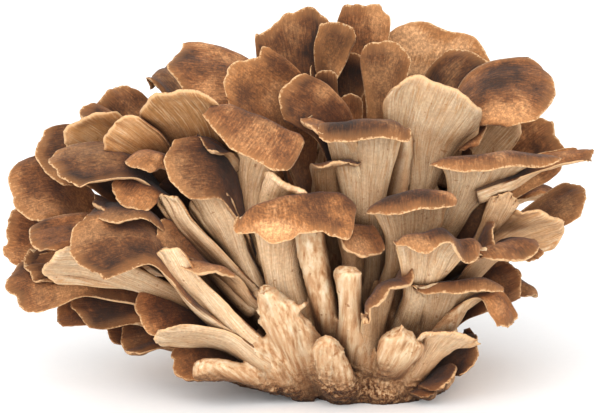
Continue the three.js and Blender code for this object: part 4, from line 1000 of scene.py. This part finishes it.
def frond(context, spec, seed):
    """One frond as a closed shell: a sheet shaped to its upper side, then given its thickness."""
    sizes = context.scene.maitake_sizes
    rows, columns, u, v = spread(context, spec, False)
    rim = sizes.rim / MM * (STUB_RIM if spec[0] == "core" else 1)
    made = frond_surface(spec, seed, u, v, math.degrees(sizes.stalk_bow), rim)
    shape = made["shape"]
    made["skin"] = smooth((u - 0.72 * shape["flare"]) / 0.22)
    made["edge"] = edge_distance(made["place"], made["skin"])
    place = refine(made, seed, sizes.lip / MM * (0.2 if spec[0] == "core" else 1))
    thick = np.maximum(made["thick"] + pleats(made, seed, sizes.rib / MM), 0.5 * rim)
    margin = np.clip(made["edge"] / (1.7 * rim), 0, 1)
    thick = eased(place, thick * (0.18 + 0.82 * np.sqrt(1 - (1 - margin) ** 2)))
    thing, (row, column) = copied_sheet(context, rows, columns)
    mesh = thing.data
    mesh.vertices.foreach_set("co", (place[row, column] * MM).ravel())
    grain = np.stack([made["across"] * GRAIN_ACROSS, u * made["length"],
                      np.full_like(u, seed * GRAIN_APART)], -1)
    # shade: the set tone, or random from the seed; on some fronds the set tone is painted shade or
    # painted light
    values = {"edge": made["edge"], "skin": made["skin"], "pale": np.full_like(u, shape["pale"]),
              "pores": np.full_like(u, shape["tan"]),
              "shade": np.full_like(u, shape["tone"] or 0.5 + 0.3 * math.sin(seed * 2.7 + 0.6))}
    for name, value in values.items():
        write_attribute(mesh, name, value[row, column])
    write_attribute(mesh, "grain", grain[row, column], "FLOAT_VECTOR")
    mesh.materials.append(finish("cap", context))
    mesh.materials.append(finish("pore", context))
    shell(thing, thick[row, column], 1)
    keep_above_floor(mesh)
    bpy.ops.object.shade_smooth()
    return thing


def dress(piece, node):
    """Puts a piece in the place of its solid."""
    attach(piece, "root")
    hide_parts(node)


def all_fronds():
    """Every frond with its seed."""
    made = []
    for i, (name, path, width, face, own) in enumerate(FRONDS + back_fronds()):
        own = {**STUB, **own} if name == "core" else own
        made.append(((name, path, width, face, own), i + 1))
    return made


def grow(context, chosen):
    """Makes the fronds of each named piece and joins those that share a stalk."""
    names = list(dict.fromkeys(spec[0] for spec, _ in all_fronds() if chosen(spec[0])))
    for name in names:
        made = [frond(context, spec, seed) for spec, seed in all_fronds()
                if spec[0] == name and not fleshy(spec)]
        select(*made)
        if len(made) > 1:
            bpy.ops.object.join()
        piece = context.view_layer.objects.active
        piece.name = f"{name}_frond" if name != "core" else "core_stubs"
        piece.data.name = piece.name
        dress(piece, name)


class FrondOperator:
    """What the frond operators share: which pieces they make."""

    bl_options = {"REGISTER", "UNDO"}
    starts = ()

    def execute(self, context):
        grow(context, lambda name: name.startswith(self.starts))
        return {"FINISHED"}


class MAITAKE_OT_front(FrondOperator, bpy.types.Operator):
    """Grow the fronds at the front and in the middle"""

    bl_idname = "maitake.front"
    bl_label = "Front Fronds"
    starts = ("front_", "centre_")


class MAITAKE_OT_left(FrondOperator, bpy.types.Operator):
    """Grow the fronds on the left"""

    bl_idname = "maitake.left"
    bl_label = "Left Fronds"
    starts = ("left_", "far_left", "upper_left")


class MAITAKE_OT_right(FrondOperator, bpy.types.Operator):
    """Grow the fronds on the right"""

    bl_idname = "maitake.right"
    bl_label = "Right Fronds"
    starts = ("right_", "top_right")


class MAITAKE_OT_crown(FrondOperator, bpy.types.Operator):
    """Grow the fronds at the top"""

    bl_idname = "maitake.crown"
    bl_label = "Crown Fronds"
    starts = ("crown_", "upper_mid")


class MAITAKE_OT_back(FrondOperator, bpy.types.Operator):
    """Grow the fronds round the back"""

    bl_idname = "maitake.back"
    bl_label = "Back Fronds"
    starts = ("back_",)


class MAITAKE_OT_stubs(FrondOperator, bpy.types.Operator):
    """Grow the stubs, buds and broken stalks that belong to the core"""

    bl_idname = "maitake.stubs"
    bl_label = "Stubs and Buds"
    starts = ("core",)


def core_lump(context):
    """The lump of flesh under the fronds: its cut face is extruded up ring by ring."""
    bpy.ops.object.select_all(action="DESELECT")
    bpy.ops.mesh.primitive_circle_add(vertices=len(CORE_OUTLINE), radius=1, fill_type="NGON")
    lump = context.object
    for vertex, (x, y) in zip(lump.data.vertices, CORE_OUTLINE):
        vertex.co = (x * MM, y * MM, FLOOR)
    bpy.ops.object.mode_set(mode="EDIT")
    bpy.ops.mesh.select_all(action="SELECT")
    middle = (CORE_CENTRE[0] * MM, CORE_CENTRE[1] * MM, 0)
    for (low, small), (high, big) in zip(CORE_PROFILE, CORE_PROFILE[1:]):
        bpy.ops.mesh.extrude_region_move(
            TRANSFORM_OT_translate={"value": (0, 0, (high - low) * MM)})
        bpy.ops.transform.resize(value=(big / small, big / small, 1), center_override=middle)
    bpy.ops.mesh.select_all(action="SELECT")
    bpy.ops.mesh.normals_make_consistent(inside=False)
    bpy.ops.object.mode_set(mode="OBJECT")
    return lump


class MAITAKE_OT_core(bpy.types.Operator):
    """Fuse the core and the roots of every frond into one lump with a crumbly foot"""

    bl_idname = "maitake.core"
    bl_label = "Core"
    bl_options = {"REGISTER", "UNDO"}

    def execute(self, context):
        sizes = context.scene.maitake_sizes
        lump = core_lump(context)
        roots = [frond_root(context, spec, seed) for spec, seed in all_fronds()
                 if fleshy(spec) or spec[1][0][2] < ROOT_BELOW]
        select(lump, *roots)
        bpy.ops.object.join()
        piece = context.view_layer.objects.active
        fuse = piece.modifiers.new("fuse", "REMESH")
        fuse.mode = "VOXEL"
        fuse.voxel_size = sizes.voxel
        bpy.ops.object.modifier_apply(modifier=fuse.name)
        soften = piece.modifiers.new("soften", "SMOOTH")
        soften.factor = 0.5
        soften.iterations = 5
        bpy.ops.object.modifier_apply(modifier=soften.name)
        self.crumble(piece, sizes.crumb)
        piece.name = piece.data.name = "core_flesh"
        piece.data.materials.clear()
        piece.data.materials.append(finish("base", context))
        select(piece)
        bpy.ops.object.shade_smooth()
        dress(piece, "core")
        return {"FINISHED"}

    def crumble(self, piece, height):
        """Roughens the foot, keeps the flesh finely ribbed above it, and ends it at the floor."""
        mesh = piece.data
        count = len(mesh.vertices)
        place, normal = np.zeros(count * 3), np.zeros(count * 3)
        mesh.vertices.foreach_get("co", place)
        mesh.vertex_normals.foreach_get("vector", normal)
        place, normal = place.reshape(-1, 3), normal.reshape(-1, 3)
        ray = place - np.array(FIBRE_SOURCE)
        ray /= np.linalg.norm(ray, axis=1)[:, None]
        # crumbs from 4 to 26 mm up, in patches of 18 and 8 mm, with grains of 2.4 and 1.1 mm
        patch = grain_of(place, 55) + 0.5 * grain_of(place, 130)
        low = 1 - np.clip((place[:, 2] - 4 * MM) / (22 * MM), 0, 1)
        crumb = np.clip(low * 1.25 + 0.9 * patch - 0.45, 0, 1)
        grit = grain_of(place, 420) + 0.6 * grain_of(place, 900)
        rib = grain_of(ray, 26) + 0.5 * grain_of(ray, 55)
        push = height * (0.75 * grit + 0.25) * crumb + 0.5 * MM * rib * (1 - crumb)
        moved = place + normal * push[:, None]
        cut = place[:, 2] < FLOOR + 1.2 * MM
        moved[:, 2] = np.where(cut, FLOOR, np.maximum(moved[:, 2], FLOOR))
        mesh.vertices.foreach_set("co", moved.ravel())
        write_attribute(mesh, "crumb", crumb)


# the card's side in metres, and the width of the camera's film in mm
CARD_SIZE, FILM_WIDTH = 12, 36


class MAITAKE_OT_stage(bpy.types.Operator):
    """Set the cluster on a white card under soft light, with its camera"""

    bl_idname = "maitake.stage"
    bl_label = "Stage"
    bl_options = {"REGISTER", "UNDO"}

    def execute(self, context):
        stage = context.scene.maitake_stage
        bpy.ops.object.select_all(action="DESELECT")
        bpy.ops.mesh.primitive_plane_add(size=CARD_SIZE, location=(0, 0, 0))
        card = context.object
        card.name = "white_card"
        card.data.materials.append(white_card(palette(context)))
        world = bpy.data.worlds.new("room")
        world.use_nodes = True
        light = next(n for n in world.node_tree.nodes if n.type == "BACKGROUND")
        light.inputs["Color"].default_value = (1, 1, 1, 1)
        light.inputs["Strength"].default_value = stage.sky
        context.scene.world = world
        for turn, power in (((stage.key_tilt, 0, stage.key_turn), stage.key),
                            ((stage.key_tilt, 0, -stage.key_turn), stage.fill)):
            bpy.ops.object.light_add(type="SUN", location=(0, 0, 1), rotation=turn)
            context.object.data.energy = power
            context.object.data.angle = stage.softness
        context.scene.view_settings.view_transform = "Standard"
        back = stage.distance
        rise = stage.elevation
        place = (0, -back * math.cos(rise), stage.height + back * math.sin(rise))
        bpy.ops.object.camera_add(location=place, rotation=(math.pi / 2 - rise, 0, 0))
        camera = context.object
        camera.name = "studio_camera"
        camera.data.sensor_width = FILM_WIDTH
        camera.data.lens = FILM_WIDTH * back / stage.width
        context.scene.camera = camera
        return {"FINISHED"}


class MAITAKE_PT_panel(bpy.types.Panel):
    """Sizes, colours and builders of the maitake"""

    bl_idname = "MAITAKE_PT_panel"
    bl_label = "Maitake"
    bl_space_type = "VIEW_3D"
    bl_region_type = "UI"
    bl_category = "Maitake"

    def draw(self, context):
        for title, group in (("Sizes", context.scene.maitake_sizes),
                             ("Colours", context.scene.maitake_colours),
                             ("Stage", context.scene.maitake_stage)):
            box = self.layout.box()
            box.label(text=title)
            for name in type(group).__annotations__:
                box.prop(group, name)
        for operator in OPERATORS:
            self.layout.operator(operator.bl_idname)


OPERATORS = (MAITAKE_OT_stage, MAITAKE_OT_core, MAITAKE_OT_stubs, MAITAKE_OT_front, MAITAKE_OT_left,
             MAITAKE_OT_right, MAITAKE_OT_crown, MAITAKE_OT_back)
GROUPS = {"maitake_sizes": MaitakeSizes, "maitake_colours": MaitakeColours,
          "maitake_stage": MaitakeStage}


def register():
    for made in (*GROUPS.values(), *OPERATORS, MAITAKE_PT_panel):
        bpy.utils.register_class(made)
    for name, group in GROUPS.items():
        setattr(bpy.types.Scene, name, bpy.props.PointerProperty(type=group))


def unregister():
    for name in GROUPS:
        delattr(bpy.types.Scene, name)
    for made in (MAITAKE_PT_panel, *reversed(OPERATORS), *reversed(GROUPS.values())):
        bpy.utils.unregister_class(made)


def main():
    register()
    bpy.ops.maitake.stage()
    bpy.ops.maitake.core()
    bpy.ops.maitake.stubs()
    bpy.ops.maitake.front()
    bpy.ops.maitake.left()
    bpy.ops.maitake.right()
    bpy.ops.maitake.crown()
    bpy.ops.maitake.back()
    for sheet, _ in SHEETS.values():
        bpy.data.objects.remove(sheet)


if __name__ == "__main__":
    main()
